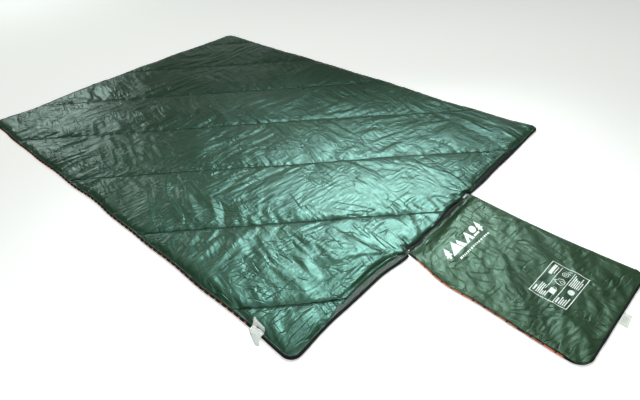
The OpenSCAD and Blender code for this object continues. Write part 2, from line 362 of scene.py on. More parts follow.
def puffed(x, y):
    """Height of the smooth padded quilt: low at the stitch lines and the edge, full between them."""
    seam = seam_distance(x, y)
    front = smooth((x - y - 300) / 1000)
    rise = SEAM_Z + (1.3 + 4.5 * front) * (1 - np.exp(-seam / 4.5)) + 5.0 * np.sin(seam * np.pi / 350)
    to_x = 1 - np.exp(-(TOP_X - np.abs(x)) / 9.0)
    to_y = 1 - np.exp(-(TOP_Y - np.abs(y)) / 9.0)
    return (EDGE_Z + (rise - EDGE_Z) * to_x * to_y).astype(np.float32)


def turned(x, y, degrees):
    """Places along and across a direction."""
    c, s = math.cos(math.radians(degrees)), math.sin(math.radians(degrees))
    return c * x + s * y, c * y - s * x


def fans(x, y):
    """Ridges that radiate from the two gathers into the quilt, with heights in millimetres."""
    z = np.zeros_like(x)
    rng = np.random.default_rng(5)
    for place in GATHERS:
        dx, dy = TOP_X + 6 - x, y - place
        r = np.hypot(dx, dy) + 1e-3
        angle = np.arctan2(dy, dx)
        for k in range(10):
            centre = math.radians(-56 + 8.5 * k + rng.uniform(-3, 3))
            reach = rng.uniform(160, 460) * (1 - 0.3 * abs(k - 5) / 5)
            width = math.radians(rng.uniform(1.8, 3.0)) + 3.0 / r
            turn = centre + 0.10 * np.sin(r / 90 + k)
            bump = np.exp(-(((angle - turn) / width) ** 2))
            z += rng.uniform(2.5, 5.5) * bump * smooth(r / 45) * smooth(1.3 - r / reach)
    return z.astype(np.float32)


def quilt_top():
    """Grid of points, in millimetres, of the crumpled top of the quilt."""
    rng = np.random.default_rng(11)
    p = None
    passes = ((20, 0.6, 0.004, 0.004), (10, 0.85, 0.006, 0.008), (5, 1.0, 0.004, 0.015))
    for step, share, bend, pull in passes:
        xs = np.arange(-TOP_X, TOP_X + 1, step, dtype=np.float32)
        ys = np.arange(-TOP_Y, TOP_Y + 1, step, dtype=np.float32)
        x, y = np.meshgrid(xs, ys)
        seam = seam_distance(x, y)
        base = puffed(x, y)
        s, t = (x + y) / ROOT2, (y - x) / ROOT2
        warp = 40 * np.sin(s / 170 + 1.3 * np.sin(t / 130))
        free = (edge_distance(x, y) > 0) & (seam > 0.5)
        room = smooth(seam / 30) * smooth(edge_distance(x, y) / 30)
        crumple = 1.7 * facets((s + 0.5 * warp) / 95, (t + warp) / 150, 1)
        channel = np.floor((y - x - SEAM_SHIFT) / SEAM_PITCH)
        a, b = turned(x + 431 * channel, y + 0.6 * warp, -15)
        one = 1.8 * facets(b / 38, a / 170, 2) + 0.9 * facets(b / 19, a / 90, 27)
        a, b = turned(x + 0.6 * warp, y + 373 * channel, 84)
        other = 1.8 * facets(b / 38, a / 130, 28) + 0.9 * facets(b / 19, a / 80, 29)
        which = smooth(0.5 + 0.9 * np.sin(s / 120 + 1.2 * np.sin(t / 95)) * np.cos(t / 140 + 0.7))
        crumple += one * which + other * (1 - which)
        front = smooth((-t - 420) / 260)
        crumple += 1.6 * front * facets((s + 0.3 * warp) / 42, (t + warp) / 210, 18)
        puckers = 1.0 * facets(s / 11, t / 34, 6) + 0.7 * facets(s / 7.5, t / 22, 7)
        along_x, along_y = TOP_X - np.abs(x), TOP_Y - np.abs(y)
        gathers = np.exp(-along_x / 16) * facets(y / 10, x / 40, 19)
        gathers = gathers + np.exp(-along_y / 16) * facets(x / 10, y / 40, 20)
        base = base + room * crumple + fans(x, y) * 0.75 + np.exp(-seam / 14) * puckers + 1.1 * gathers
        spread = np.random.default_rng(3)
        patch = smooth(0.5 + 0.35 * soft_noise(spread, x.shape, 140 / step))
        second = smooth(0.5 + 0.35 * soft_noise(spread, x.shape, 170 / step))
        along = share * (0.002 + 0.006 * patch + 0.006 * front + 0.012 * np.exp(-seam / 25))
        across = share * (0.001 + 0.004 * second)
        sideways = np.zeros_like(x)
        for place in GATHERS:
            sideways += share * 0.12 * np.exp(-((TOP_X - x) / 110) ** 2 - ((y - place) / 45) ** 2)
        if p is None:
            p = np.stack([x, y, base], -1).astype(np.float32)
        else:
            p = finer(p)
        p[..., 0] = np.where(free, p[..., 0], x)
        p[..., 1] = np.where(free, p[..., 1], y)
        p[..., 2] = np.where(free, p[..., 2], base)
        p[..., 2] += np.where(free, 0.06 * step * soft_noise(rng, x.shape, 3), 0)
        settle(p, free, base, (x, y, along, across, sideways), 50, bend, pull, 3, 26)
    keep = smooth(np.minimum(seam, edge_distance(x, y)) / 8)
    z = p[..., 2]
    fine = facets(b / 15, a / 55, 4) * (1 - which)
    a, b = turned(x + 431 * channel, y + 0.6 * warp, -15)
    fine += facets(b / 15, a / 60, 9) * which
    crisp = z + 0.5 * fans(x, y) * smooth(seam / 20) + 0.9 * fine
    crisp = creased(crisp, 14, 0.5) + 0.3 * fine
    p[..., 2] = z + keep * (np.clip(crisp, 3, 26) - z)
    return p


def rounded_corners(x, y, half_l, half_w, radius):
    """Moves the points of a rectangle's square corners into round ones."""
    dx = np.maximum(np.abs(x) - (half_l - radius), 0)
    dy = np.maximum(np.abs(y) - (half_w - radius), 0)
    scale = np.maximum(dx, dy) / np.maximum(np.hypot(dx, dy), 1e-6)
    inside = (dx > 0) & (dy > 0)
    nx = np.where(inside, np.sign(x) * (half_l - radius + dx * scale), x)
    ny = np.where(inside, np.sign(y) * (half_w - radius + dy * scale), y)
    return nx, ny


def under(z, limit):
    """Heights eased to stay under a limit."""
    return limit - 1.2 * np.log1p(np.exp(np.clip((limit - z) / 1.2, -30, 30)))


def hill(t, middle, wide):
    return np.exp(-(((t - middle) / wide) ** 2))


def lay(points):
    """The blanket's lie on the floor: its edges bulge and dip a little, and one corner is drawn out."""
    points = np.asarray(points, np.float32)
    x, y, z = points[..., 0], points[..., 1], points[..., 2]
    calm = smooth((HALF_L - x) / 200) + smooth((np.abs(y + 40) - 200) / 150)
    calm = np.minimum(calm, 1)
    dx = calm * (2 * np.sin(y / 140 + 0.6) * np.cos(x / 210) + 1.2 * np.sin(y / 47 + x / 90))
    dy = calm * (2.5 * np.sin(x / 105 + 1.1) * np.cos(y / 190) + 1.5 * np.sin(x / 43 - y / 80))
    near = smooth((x - 700) / 300)
    dx = dx + near * (4 + 15 * hill(y, -255, 75)) * smooth((-235 - y) / 8)
    dx = dx + near * (9 + 4 * hill(y, 250, 90)) * smooth((y - 139) / 11) * smooth((725 - y) / 160)
    foot = smooth((-x - 500) / 500)
    bulges = 12 * hill(y, -230, 130) + 13 * hill(y, 60, 120) + 13 * hill(y, 300, 90) - 13 * hill(y, -520, 110)
    dx = dx - foot * bulges
    dy = dy + 9 * smooth((-y - 250) / 470) * hill(x, 0, 130)
    dips = hill(x, 540, 190) + 0.5 * hill(x, 860, 150) + 0.5 * hill(x, 1000, 90)
    dy = dy - 17 * smooth((y - 250) / 470) * dips
    drawn = smooth(1 - np.hypot(x - HALF_L, y + HALF_W) / 150)
    raised = smooth(1 - np.hypot(x - HALF_L, y - HALF_W) / 120)
    return np.stack([x + dx + 7 * drawn + 7 * raised, y + dy - 11 * drawn + 3 * raised, z + 4 * raised], -1)


# ---------------------------------------------------------------- meshes


def make_mesh(name, points, faces, material, uv=None):
    """A mesh object from points in millimetres and faces of one size, with a UV pair for each point."""
    points = np.asarray(points, np.float32).reshape(-1, 3) * MM
    faces = np.asarray(faces, np.int32)
    count, corners = faces.shape
    mesh = bpy.data.meshes.new(name)
    mesh.vertices.add(len(points))
    mesh.vertices.foreach_set("co", points.ravel())
    mesh.loops.add(count * corners)
    mesh.loops.foreach_set("vertex_index", faces.ravel())
    mesh.polygons.add(count)
    mesh.polygons.foreach_set("loop_start", np.arange(0, count * corners, corners, dtype=np.int32))
    mesh.update(calc_edges=True)
    if uv is not None:
        layer = mesh.uv_layers.new(name="print")
        pairs = np.asarray(uv, np.float32).reshape(-1, 2)[faces.ravel()]
        layer.data.foreach_set("uv", pairs.ravel())
    mesh.validate()
    mesh.polygons.foreach_set("use_smooth", np.full(len(mesh.polygons), True))
    mesh.materials.append(material)
    thing = bpy.data.objects.new(name, mesh)
    bpy.context.scene.collection.objects.link(thing)
    return thing


def grid_faces(ny, nx):
    """Quads of a grid of points."""
    i = np.arange(ny * nx).reshape(ny, nx)
    return np.stack([i[:-1, :-1], i[:-1, 1:], i[1:, 1:], i[1:, :-1]], -1).reshape(-1, 4)


def ring_faces(rings, sides):
    """Quads of a tube of rings, each ring closed."""
    i = np.arange(rings * sides).reshape(rings, sides)
    j = np.roll(i, -1, 1)
    return np.stack([i[:-1], j[:-1], j[1:], i[1:]], -1).reshape(-1, 4)


def arc_points(centre, radius, start, stop, gap):
    n = max(2, int(abs(stop - start) * radius / gap) + 1)
    a = np.linspace(start, stop, n)
    return np.stack([centre[0] + radius * np.cos(a), centre[1] + radius * np.sin(a)], -1)


def spaced(path, gap):
    """The points of a polyline, spaced evenly."""
    path = np.asarray(path, float)
    step = np.hypot(*np.diff(path, axis=0).T)
    along = np.concatenate([[0], np.cumsum(step)])
    keep = np.concatenate([[True], step > 1e-6])
    places = np.linspace(0, along[-1], int(along[-1] / gap) + 2)
    return np.stack([np.interp(places, along[keep], path[keep, k]) for k in (0, 1)], -1), places


def normals_of(path):
    """Unit vectors to the right of a path in the plane, which are outwards on a path that turns left."""
    t = np.gradient(path, axis=0)
    t /= np.maximum(np.hypot(t[:, 0], t[:, 1]), 1e-9)[:, None]
    return np.stack([t[:, 1], -t[:, 0]], -1)


def band(name, path, places, profile, material, wobble, drape, dots, low_at, wide):
    """A sewn band: a closed profile of (outwards, up) points swept along a path, with small gathers. dots is
    how much of the print shows at each place, low_at flattens the band where something lies on it, and wide
    draws its inner side inwards."""
    profile = np.asarray(profile, float)
    out = normals_of(path)
    shift = wobble[:, None] * (0.4 + 0.6 * profile[None, :, 1] / profile[:, 1].max())
    inner = np.minimum(profile[None, :, 0] + 2, 0)
    o = profile[None, :, 0] + shift * np.sign(profile[None, :, 0] + 3.5) + inner * (wide[:, None] - 1)
    z = profile[None, :, 1] + shift * (profile[None, :, 1] > 2)
    points = np.empty((len(path), len(profile), 3))
    points[..., 0] = path[:, None, 0] + out[:, None, 0] * o
    points[..., 1] = path[:, None, 1] + out[:, None, 1] * o
    points[..., 2] = z * low_at[:, None]
    around = np.linspace(0, 1, len(profile), endpoint=False)
    uv = np.stack(np.broadcast_arrays(places[:, None] * MM, around[None, :]), -1)
    thing = make_mesh(name, drape(points), ring_faces(len(path), len(profile)), material, uv)
    layer = thing.data.attributes.new("dots", "FLOAT", "POINT")
    layer.data.foreach_set("value", np.repeat(dots, len(profile)).astype(np.float32))
    return thing


def small_noise(seed, n, wide):
    """Smooth random numbers along a line of n points, each bump `wide` points long."""
    rng = np.random.default_rng(seed)
    knots = rng.standard_normal(int(n / wide) + 3)
    return np.interp(np.arange(n) / wide, np.arange(len(knots)), knots)


# ---------------------------------------------------------------- materials


def new_material(name, colour, roughness, specular=0.5, tint=(1, 1, 1), metallic=0.0, sheen=0.0):
    material = bpy.data.materials.new(name)
    material.use_nodes = True
    shader = material.node_tree.nodes["Principled BSDF"]
    shader.inputs["Base Color"].default_value = (*colour, 1)
    shader.inputs["Roughness"].default_value = roughness
    shader.inputs["Specular IOR Level"].default_value = specular
    shader.inputs["Specular Tint"].default_value = (*tint, 1)
    shader.inputs["Metallic"].default_value = metallic
    shader.inputs["Sheen Weight"].default_value = sheen
    return material


class Nodes:
    """Short calls for building a material's node tree."""

    def __init__(self, material):
        self.tree = material.node_tree
        self.shader = self.tree.nodes["Principled BSDF"]

    def add(self, kind, inputs=None, **settings):
        node = self.tree.nodes.new(kind)
        for key, value in settings.items():
            setattr(node, key, value)
        for key, value in (inputs or {}).items():
            if isinstance(value, bpy.types.NodeSocket):
                self.tree.links.new(value, node.inputs[key])
            else:
                node.inputs[key].default_value = value
        return node

    def uv(self):
        return self.add("ShaderNodeUVMap", uv_map="print").outputs["UV"]

    def place(self):
        return self.add("ShaderNodeTexCoord").outputs["Object"]

    def turned(self, vector, turn, stretch):
        """A place turned by an angle and then drawn out along its new axes."""
        inputs = {"Vector": vector, "Scale": (*stretch, 1), "Rotation": (0, 0, turn)}
        return self.add("ShaderNodeMapping", inputs, vector_type="TEXTURE").outputs[0]

    def noise(self, vector, scale, detail=2.0, rough=0.5, stretch=(1, 1), turn=0.0):
        inputs = {"Vector": self.turned(vector, turn, stretch), "Scale": scale}
        inputs.update({"Detail": detail, "Roughness": rough})
        return self.add("ShaderNodeTexNoise", inputs).outputs["Fac"]

    def facets(self, vector, size_mm, stretch=(1, 1), turn=0.0, metric="MANHATTAN"):
        """Flat facets with sharp creases between them, as on crumpled cloth."""
        where = self.turned(vector, turn, stretch)
        shake = self.add("ShaderNodeTexNoise", {"Vector": where, "Scale": 400 / size_mm, "Detail": 1.0})
        inputs = {0: shake.outputs["Color"], 1: (0.5, 0.5, 0.5)}
        half = self.add("ShaderNodeVectorMath", inputs, operation="SUBTRACT")
        inputs = {0: half.outputs[0], "Scale": 1.3 * size_mm * MM}
        by = self.add("ShaderNodeVectorMath", inputs, operation="SCALE")
        moved = self.add("ShaderNodeVectorMath", {0: where, 1: by.outputs[0]}).outputs[0]
        inputs = {"Vector": moved, "Scale": 1 / (size_mm * MM)}
        node = self.add("ShaderNodeTexVoronoi", inputs, voronoi_dimensions="2D", distance=metric)
        return node.outputs["Distance"]

    def math(self, operation, a, b=0.0, c=0.0):
        return self.add("ShaderNodeMath", {0: a, 1: b, 2: c}, operation=operation).outputs[0]

    def ramp(self, value, low_in, high_in, low_out=0.0, high_out=1.0):
        inputs = {"Value": value, "From Min": low_in, "From Max": high_in}
        inputs.update({"To Min": low_out, "To Max": high_out})
        return self.add("ShaderNodeMapRange", inputs).outputs[0]

    def mix(self, share, a, b):
        node = self.tree.nodes.new("ShaderNodeMix")
        node.data_type = "RGBA"
        for key, value in ((0, share), (6, a), (7, b)):
            if isinstance(value, bpy.types.NodeSocket):
                self.tree.links.new(value, node.inputs[key])
            else:
                node.inputs[key].default_value = (*value, 1) if key else value
        return node.outputs[2]

    def colour(self, socket):
        self.tree.links.new(socket, self.shader.inputs["Base Color"])

    def rough(self, socket):
        self.tree.links.new(socket, self.shader.inputs["Roughness"])

    def bump(self, *layers):
        """Stacks layers of (height, strength, distance in millimetres) as one bump."""
        normal = None
        for height, strength, distance in layers:
            inputs = {"Height": height, "Strength": strength, "Distance": distance * MM}
            if normal is not None:
                inputs["Normal"] = normal
            normal = self.add("ShaderNodeBump", inputs).outputs[0]
        self.tree.links.new(normal, self.shader.inputs["Normal"])

    def weave(self, vector, pitch_mm):
        """Threads of a plain weave, over and under, from 0 to 1."""
        split = self.add("ShaderNodeSeparateXYZ", {0: vector})
        turns = 2 * math.pi / (pitch_mm * MM)
        wave_x = self.math("SINE", self.math("MULTIPLY", split.outputs[0], turns))
        wave_y = self.math("SINE", self.math("MULTIPLY", split.outputs[1], turns))
        return self.math("MULTIPLY", wave_x, wave_y)


def nylon(name, colour, specular, tint, roughness, quilted):
    """Glossy down-proof nylon: fine weave, small crinkles, a few sharp creases with painted shade in them, slightly
    uneven dye and, when quilted, painted shade along the stitch lines.
    """
    material = new_material(name, colour, roughness, specular, tint)
    n = Nodes(material)
    uv = n.uv()
    groove = 1.0
    if quilted:
        split = n.add("ShaderNodeSeparateXYZ", {0: uv})
        s = n.math("SUBTRACT", n.math("SUBTRACT", split.outputs[1], split.outputs[0]), SEAM_SHIFT * MM)
        turns = n.math("ADD", n.math("DIVIDE", s, SEAM_PITCH * MM), 0.5)
        away = n.math("ABSOLUTE", n.math("SUBTRACT", n.math("FRACT", turns), 0.5))
        away = n.math("MULTIPLY", away, SEAM_PITCH / ROOT2)
        groove = n.ramp(away, 0.0, 4.5)
        channel = n.math("MULTIPLY", n.math("FLOOR", n.math("SUBTRACT", turns, 0.5)), 0.737)
        uv = n.add("ShaderNodeVectorMath", {0: uv, 1: channel}).outputs[0]
    creases = []
    for scale, turn, stretch, place in ((30, -15, 5.0, 0.0), (34, 84, 4.0, 3.0), (24, 24, 4.5, 7.0)):
        there = n.add("ShaderNodeVectorMath", {0: uv, 1: (place, place, 0)}).outputs[0]
        waves = n.noise(there, scale, 1.2, 0.5, (stretch, 1.0), math.radians(turn))
        line = n.math("ABSOLUTE", n.math("SUBTRACT", waves, 0.5))
        mask = n.ramp(n.noise(there, 9, 2.0), 0.5, 0.6)
        creases.append(n.math("MULTIPLY", n.ramp(line, 0.0, 0.035, 1.0, 0.0), mask))
    fold = n.math("MAXIMUM", creases[0], n.math("MAXIMUM", creases[1], creases[2]))
    patches = n.noise(uv, 3.5, 3.0)
    dark = tuple(c * 0.85 for c in colour)
    light = tuple(c * 1.15 for c in colour)
    shade = n.mix(n.ramp(patches, 0.3, 0.7), dark, light)
    # painted shade: along the crease lines the colour is mixed up to halfway towards 30% of itself, standing in for
    # the shade inside the creases
    shade = n.mix(n.math("MULTIPLY", fold, 0.5), shade, tuple(c * 0.3 for c in colour))
    # painted shade: within a few millimetres of each stitch line the colour is mixed towards 15% of itself, standing
    # in for the shade in the seam's ditch
    if quilted:
        shade = n.mix(n.ramp(away, 1.5, 5.0, 0.85, 0.0), shade, tuple(c * 0.15 for c in colour))
    n.colour(shade)
    n.rough(n.ramp(n.noise(uv, 40, 3.0), 0.3, 0.7, roughness * 0.85, roughness * 1.15))
    worn = n.ramp(n.noise(uv, 5.0, 1.0), 0.38, 0.64, 0.1, 1.0)
    one = n.facets(uv, 17, (3.2, 1.0), math.radians(-15))
    other = n.facets(uv, 15, (3.0, 1.0), math.radians(84))
    which = n.ramp(n.noise(uv, 6.0, 1.0), 0.45, 0.55)
    large = n.add("ShaderNodeMix", {0: which, 2: one, 3: other}).outputs[0]
    small = n.math("MULTIPLY", n.facets(uv, 9, (1.0, 2.0), math.radians(35), "EUCLIDEAN"), worn)
    crinkle = n.noise(uv, 150, 3.0, 0.6, (1.0, 2.0), math.radians(45))
    depth = n.math("SUBTRACT", 1.0, fold)
    n.bump(
        (large, 1.0, 1.0), (depth, 1.0, 1.1), (groove, 1.0, 2.2),
        (small, 1.0, 0.35), (crinkle, 1.0, 0.25), (n.weave(uv, 0.7), 0.25, 0.04),
    )
    return material


def printed(name, base, rows, rough, mask=None):
    """Black nylon with rows of small orange dots or strokes that turn red along the cloth. Each row has its
    pitch in millimetres, its pitch and middle across the cloth, half sizes as shares of the pitches, and the
    level that the mask attribute needs to reach for it to show."""
    material = new_material(name, base, rough, 0.2)
    n = Nodes(material)
    uv = n.uv()
    split = n.add("ShaderNodeSeparateXYZ", {0: uv})
    u, v = split.outputs[0], split.outputs[1]
    shown = n.add("ShaderNodeAttribute", attribute_name=mask).outputs["Fac"] if mask else 1.0
    dot = 0.0
    for pitch, across, middle, half_u, half_v, level in rows:
        du = n.math("SUBTRACT", n.math("FRACT", n.math("DIVIDE", u, pitch * MM)), 0.5)
        dv = n.math("SUBTRACT", n.math("FRACT", n.math("DIVIDE", v, across)), middle)
        power = 2.0 if half_u < 0.3 else 8.0
        far = n.math("ADD", n.math("POWER", n.math("ABSOLUTE", n.math("DIVIDE", du, half_u)), power),
                     n.math("POWER", n.math("ABSOLUTE", n.math("DIVIDE", dv, half_v)), power))
        row = n.math("MULTIPLY", n.ramp(far, 0.9, 1.1, 1.0, 0.0), n.math("GREATER_THAN", shown, level))
        dot = n.math("MAXIMUM", dot, row)
    if mask:
        keep = n.math("LESS_THAN", n.noise(uv, 25, 1.0), n.ramp(shown, 0.0, 1.0, 0.0, 0.75))
        dot = n.math("MULTIPLY", dot, keep)
    hue = n.mix(n.ramp(n.noise(uv, 2.0, 1.0), 0.35, 0.65), (0.95, 0.16, 0.08), (1.0, 0.38, 0.16))
    n.colour(n.mix(dot, base, hue))
    crinkle = n.noise(uv, 90, 3.0)
    n.bump((crinkle, 0.3, 0.6), (n.weave(uv, 0.7), 0.2, 0.04))
    return material


def ribbed(name, colour, pitch_mm, roughness, sheen=0.2):
    """Grosgrain tape: ribs across its length."""
    material = new_material(name, colour, roughness, 0.4, sheen=sheen)
    n = Nodes(material)
    uv = n.uv()
    split = n.add("ShaderNodeSeparateXYZ", {0: uv})
    rib = n.math("SINE", n.math("MULTIPLY", split.outputs[0], 2 * math.pi / (pitch_mm * MM)))
    light = tuple(min(0.96, c * 1.5) for c in colour)
    n.colour(n.mix(n.ramp(n.noise(uv, 300, 2.0), 0.3, 0.7), colour, light))
    n.bump((rib, 0.6, 0.25), (n.noise(uv, 900, 2.0), 0.2, 0.1))
    return material


def tag_cloth(name, colour):
    """Satin ribbon with a small block of faint grey dashes across it."""
    material = new_material(name, colour, 0.5, 0.4, sheen=0.8)
    n = Nodes(material)
    uv = n.uv()
    split = n.add("ShaderNodeSeparateXYZ", {0: uv})
    u, v = split.outputs[0], split.outputs[1]
    row = n.math("LESS_THAN", n.math("FRACT", n.math("DIVIDE", u, 3.0 * MM)), 0.45)
    dash = n.math("GREATER_THAN", n.noise(uv, 420, 1.0, 0.5, (0.3, 1.0)), 0.45)
    inside = n.math("MULTIPLY", n.math("LESS_THAN", n.math("ABSOLUTE", v), 13 * MM),
                    n.math("LESS_THAN", n.math("ABSOLUTE", n.math("SUBTRACT", u, 16 * MM)), 6 * MM))
    ink = n.math("MULTIPLY", n.math("MULTIPLY", row, dash), inside)
    n.colour(n.mix(n.math("MULTIPLY", ink, 0.7), colour, (0.25, 0.27, 0.26)))
    n.bump((n.noise(uv, 900, 2.0), 0.3, 0.1), (n.weave(uv, 0.5), 0.3, 0.03))
    return material


def white_ink(name):
    """Screen-printed white ink, very slightly uneven."""
    material = new_material(name, (0.92, 0.94, 0.92), 0.5, 0.3)
    n = Nodes(material)
    uv = n.place()
    n.colour(n.mix(n.ramp(n.noise(uv, 120, 3.0), 0.35, 0.65), (0.84, 0.87, 0.84), (0.95, 0.96, 0.95)))
    n.bump((n.noise(uv, 700, 2.0), 0.2, 0.1))
    return material


def plain_thread(name, colour):
    material = new_material(name, colour, 0.8, 0.15)
    n = Nodes(material)
    n.bump((n.noise(n.place(), 2500, 1.0), 0.5, 0.2))
    return material


def metal(name, colour, roughness):
    material = new_material(name, colour, roughness, 0.5, metallic=0.85)
    n = Nodes(material)
    n.rough(n.ramp(n.noise(n.place(), 400, 3.0), 0.3, 0.7, roughness * 0.8, roughness * 1.3))
    n.bump((n.noise(n.place(), 1500, 2.0), 0.15, 0.05))
    return material


TINT = (0.45, 1.0, 0.85)
TOP_NYLON = nylon("top_nylon", (0.017, 0.043, 0.020), 0.78, TINT, 0.36, True)
POUCH_NYLON = nylon("pouch_nylon", (0.02, 0.045, 0.02), 0.6, (0.6, 1.0, 0.72), 0.44, False)
UNDERSIDE = printed("underside_nylon", (0.006, 0.006, 0.007), [(22, 0.022, 0.5, 0.16, 0.11, 0)], 0.45)
EDGE_ROWS = [(25, 1.0, 0.51, 0.17, 0.1, 0.3), (75, 1.0, 0.655, 0.47, 0.05, 1.5)]
EDGE_PRINT = printed("binding", (0.003, 0.003, 0.0035), EDGE_ROWS, 0.7, "dots")
POUCH_EDGE = printed("pouch_binding", (0.003, 0.003, 0.0035), [(34, 1.0, 0.59, 0.44, 0.13, 0.3)], 0.7, "dots")
# grey ribbed tape of the zip's end tabs; on the strip beside the pouch's mouth the same grey is a painted reflection
# of glossy gathered cloth
GREY_TAPE_AND_PAINTED_SHEEN = ribbed("grey_tape_and_painted_sheen", (0.035, 0.05, 0.042), 2.4, 0.55)
TAPE_BLACK = ribbed("zip_tape", (0.004, 0.0045, 0.0045), 0.9, 0.8)
COIL = new_material("zip_coil", (0.01, 0.01, 0.01), 0.3, 0.5)
THREAD = plain_thread("thread", (0.005, 0.015, 0.01))
EDGE_THREAD = plain_thread("edge_thread", (0.22, 0.3, 0.25))
METAL = metal("zip_metal", (0.12, 0.12, 0.12), 0.35)
LABEL = ribbed("label", (0.94, 0.93, 0.88), 0.6, 0.5, 0.8)
TAG = tag_cloth("tag_cloth", (0.95, 0.93, 0.87))
PRINT = white_ink("white_print")


# ---------------------------------------------------------------- the quilt

EDGE_O = 4.0  # the top sheet ends this far inside the blanket's edge, under the binding


def split_at_middle(grid, side):
    middle = grid.shape[0] // 2
    return grid[middle:] if side > 0 else grid[: middle + 1]


def fold_with_side(thing, side):
    """Bakes the placing of a piece of one half of the blanket into its mesh."""
    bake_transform(thing)


def side_name(side):
    return "left" if side > 0 else "right"


def by_mouth(y):
    """1 along the pouch's mouth, where the top bulges over the binding, and 0 away from it."""
    return smooth((y - MOUTH[0] - 4) / 30) * smooth((MOUTH[1] - 4 - y) / 30)


def set_back(y):
    """How far the green top stays back from the pouch edge, where a wide band shows: on the left and on the
    right."""
    left = 13 * smooth((y - 170) / 50) * smooth((620 - y) / 200)
    right = 17 * smooth((-238 - y) / 30) * smooth((y + 640) / 220)
    return left, right


def sampler(grid, x0, y0, step):
    """A function that gives the height of a crumpled grid at places x and y."""
    ny, nx, _ = grid.shape

    def at(layer, i, j):
        i = np.clip(i, 0, ny - 1.001)
        j = np.clip(j, 0, nx - 1.001)
        a, b = i.astype(int), j.astype(int)
        f, g = i - a, j - b
        low_side = layer[a, b] * (1 - g) + layer[a, b + 1] * g
        high_side = layer[a + 1, b] * (1 - g) + layer[a + 1, b + 1] * g
        return low_side * (1 - f) + high_side * f

    def height(x, y):
        x, y = np.asarray(x, float), np.asarray(y, float)
        i, j = (y - y0) / step, (x - x0) / step
        for _ in range(3):
            i = i + (y - at(grid[..., 1], i, j)) / step
            j = j + (x - at(grid[..., 0], i, j)) / step
        return at(grid[..., 2], i, j)

    return height


def make_quilt_top(top):
    x, y = rounded_corners(top[..., 0], top[..., 1], TOP_X, TOP_Y, CORNER_R)
    flat = np.stack([x, y], -1) * MM
    at_mouth = by_mouth(y)
    wave = 1.5 + 2.0 * np.sin(y / 23 + 0.8) * np.cos(y / 41)
    wave = wave + 3 * smooth((-10 - y) / 40) * smooth((y + 198) / 20)
    bulge = (EDGE_O + wave - 8 * hill(y, 30, 42)) * at_mouth * smooth((x - HALF_L + 60) / 60)
    x = x * (HALF_L - EDGE_O) / TOP_X + bulge - sum(set_back(y)) * smooth((x - HALF_L + 100) / 100)
    z = top[..., 2] + 1.6 * at_mouth * smooth((x - HALF_L + 30) / 30)
    kept_up = np.minimum(at_mouth + sum(set_back(y)) / 12, 1) * (x > HALF_L - 70)
    kept_up[:, -1] = 0
    z = np.maximum(z, 12.4 * kept_up + 0.6 * at_mouth * facets(y / 8, x / 40, 30) * kept_up)
    below_pouch = smooth((x - 420) / 40) * smooth((y + 310) / 30) * smooth((190 - y) / 30)
    z = z + (under(z, 17.3) - z) * below_pouch
    shown = lay(np.stack([x, y, z], -1))
    made = {}
    for side in (1, -1):
        part = split_at_middle(shown, side)
        name = "quilt_top_" + side_name(side)
        thing = make_mesh(name, part, grid_faces(*part.shape[:2]), TOP_NYLON, split_at_middle(flat, side))
        made[side] = thing
        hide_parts("top_shell_" + side_name(side), "top_shell_middle")
        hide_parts("batting_" + side_name(side), "batting_middle")
        fold_with_side(thing, side)
    return made


def make_underside():
    """The flat bottom sheet, with slight unevenness."""
    step = 10.0
    x, y = np.meshgrid(np.arange(-TOP_X, TOP_X + 1, step), np.arange(-TOP_Y, TOP_Y + 1, step))
    rise = soft_noise(np.random.default_rng(21), x.shape, 6)
    z = 0.6 + 0.5 * np.clip(rise, 0, 2) * smooth(edge_distance(x, y) / 30)
    nx, ny = rounded_corners(x, y, TOP_X, TOP_Y, CORNER_R)
    shown = lay(np.stack([nx * (HALF_L - EDGE_O) / TOP_X, ny, z], -1))
    flat = np.stack([nx, ny], -1) * MM
    made = {}
    for side in (1, -1):
        part = split_at_middle(shown, side)
        faces = grid_faces(*part.shape[:2])[:, ::-1]
        name = "quilt_underside_" + side_name(side)
        thing = make_mesh(name, part, faces, UNDERSIDE, split_at_middle(flat, side))
        made[side] = thing
        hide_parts("bottom_shell_" + side_name(side), "bottom_shell_middle")
        fold_with_side(thing, side)
    return made


def half_outline(side, inset, gap):
    """Half of the blanket's outline, from the middle of the pouch edge round one side to the middle of the
    foot edge, turning left for the left side."""
    x, y, r = HALF_L - CORNER_R, HALF_W - CORNER_R, CORNER_R - inset
    quarter = math.pi / 2
    path = [[[HALF_L - inset, 0]], arc_points((x, y), r, 0, quarter, 3)]
    path += [arc_points((-x, y), r, quarter, 2 * quarter, 3), [[-HALF_L + inset, 0]]]
    path, places = spaced(np.concatenate(path), gap)
    if side < 0:
        path = (path * (1, -1))[::-1]
    return path, places


BAND = [(-8, 0.5), (-8, 6.6), (-6.5, 7.6), (-4, 8.0), (-1.5, 7.6), (0.2, 6.2)]
BAND += [(0.9, 4.0), (0.5, 1.8), (-0.8, 0.4), (-4, 0.2)]


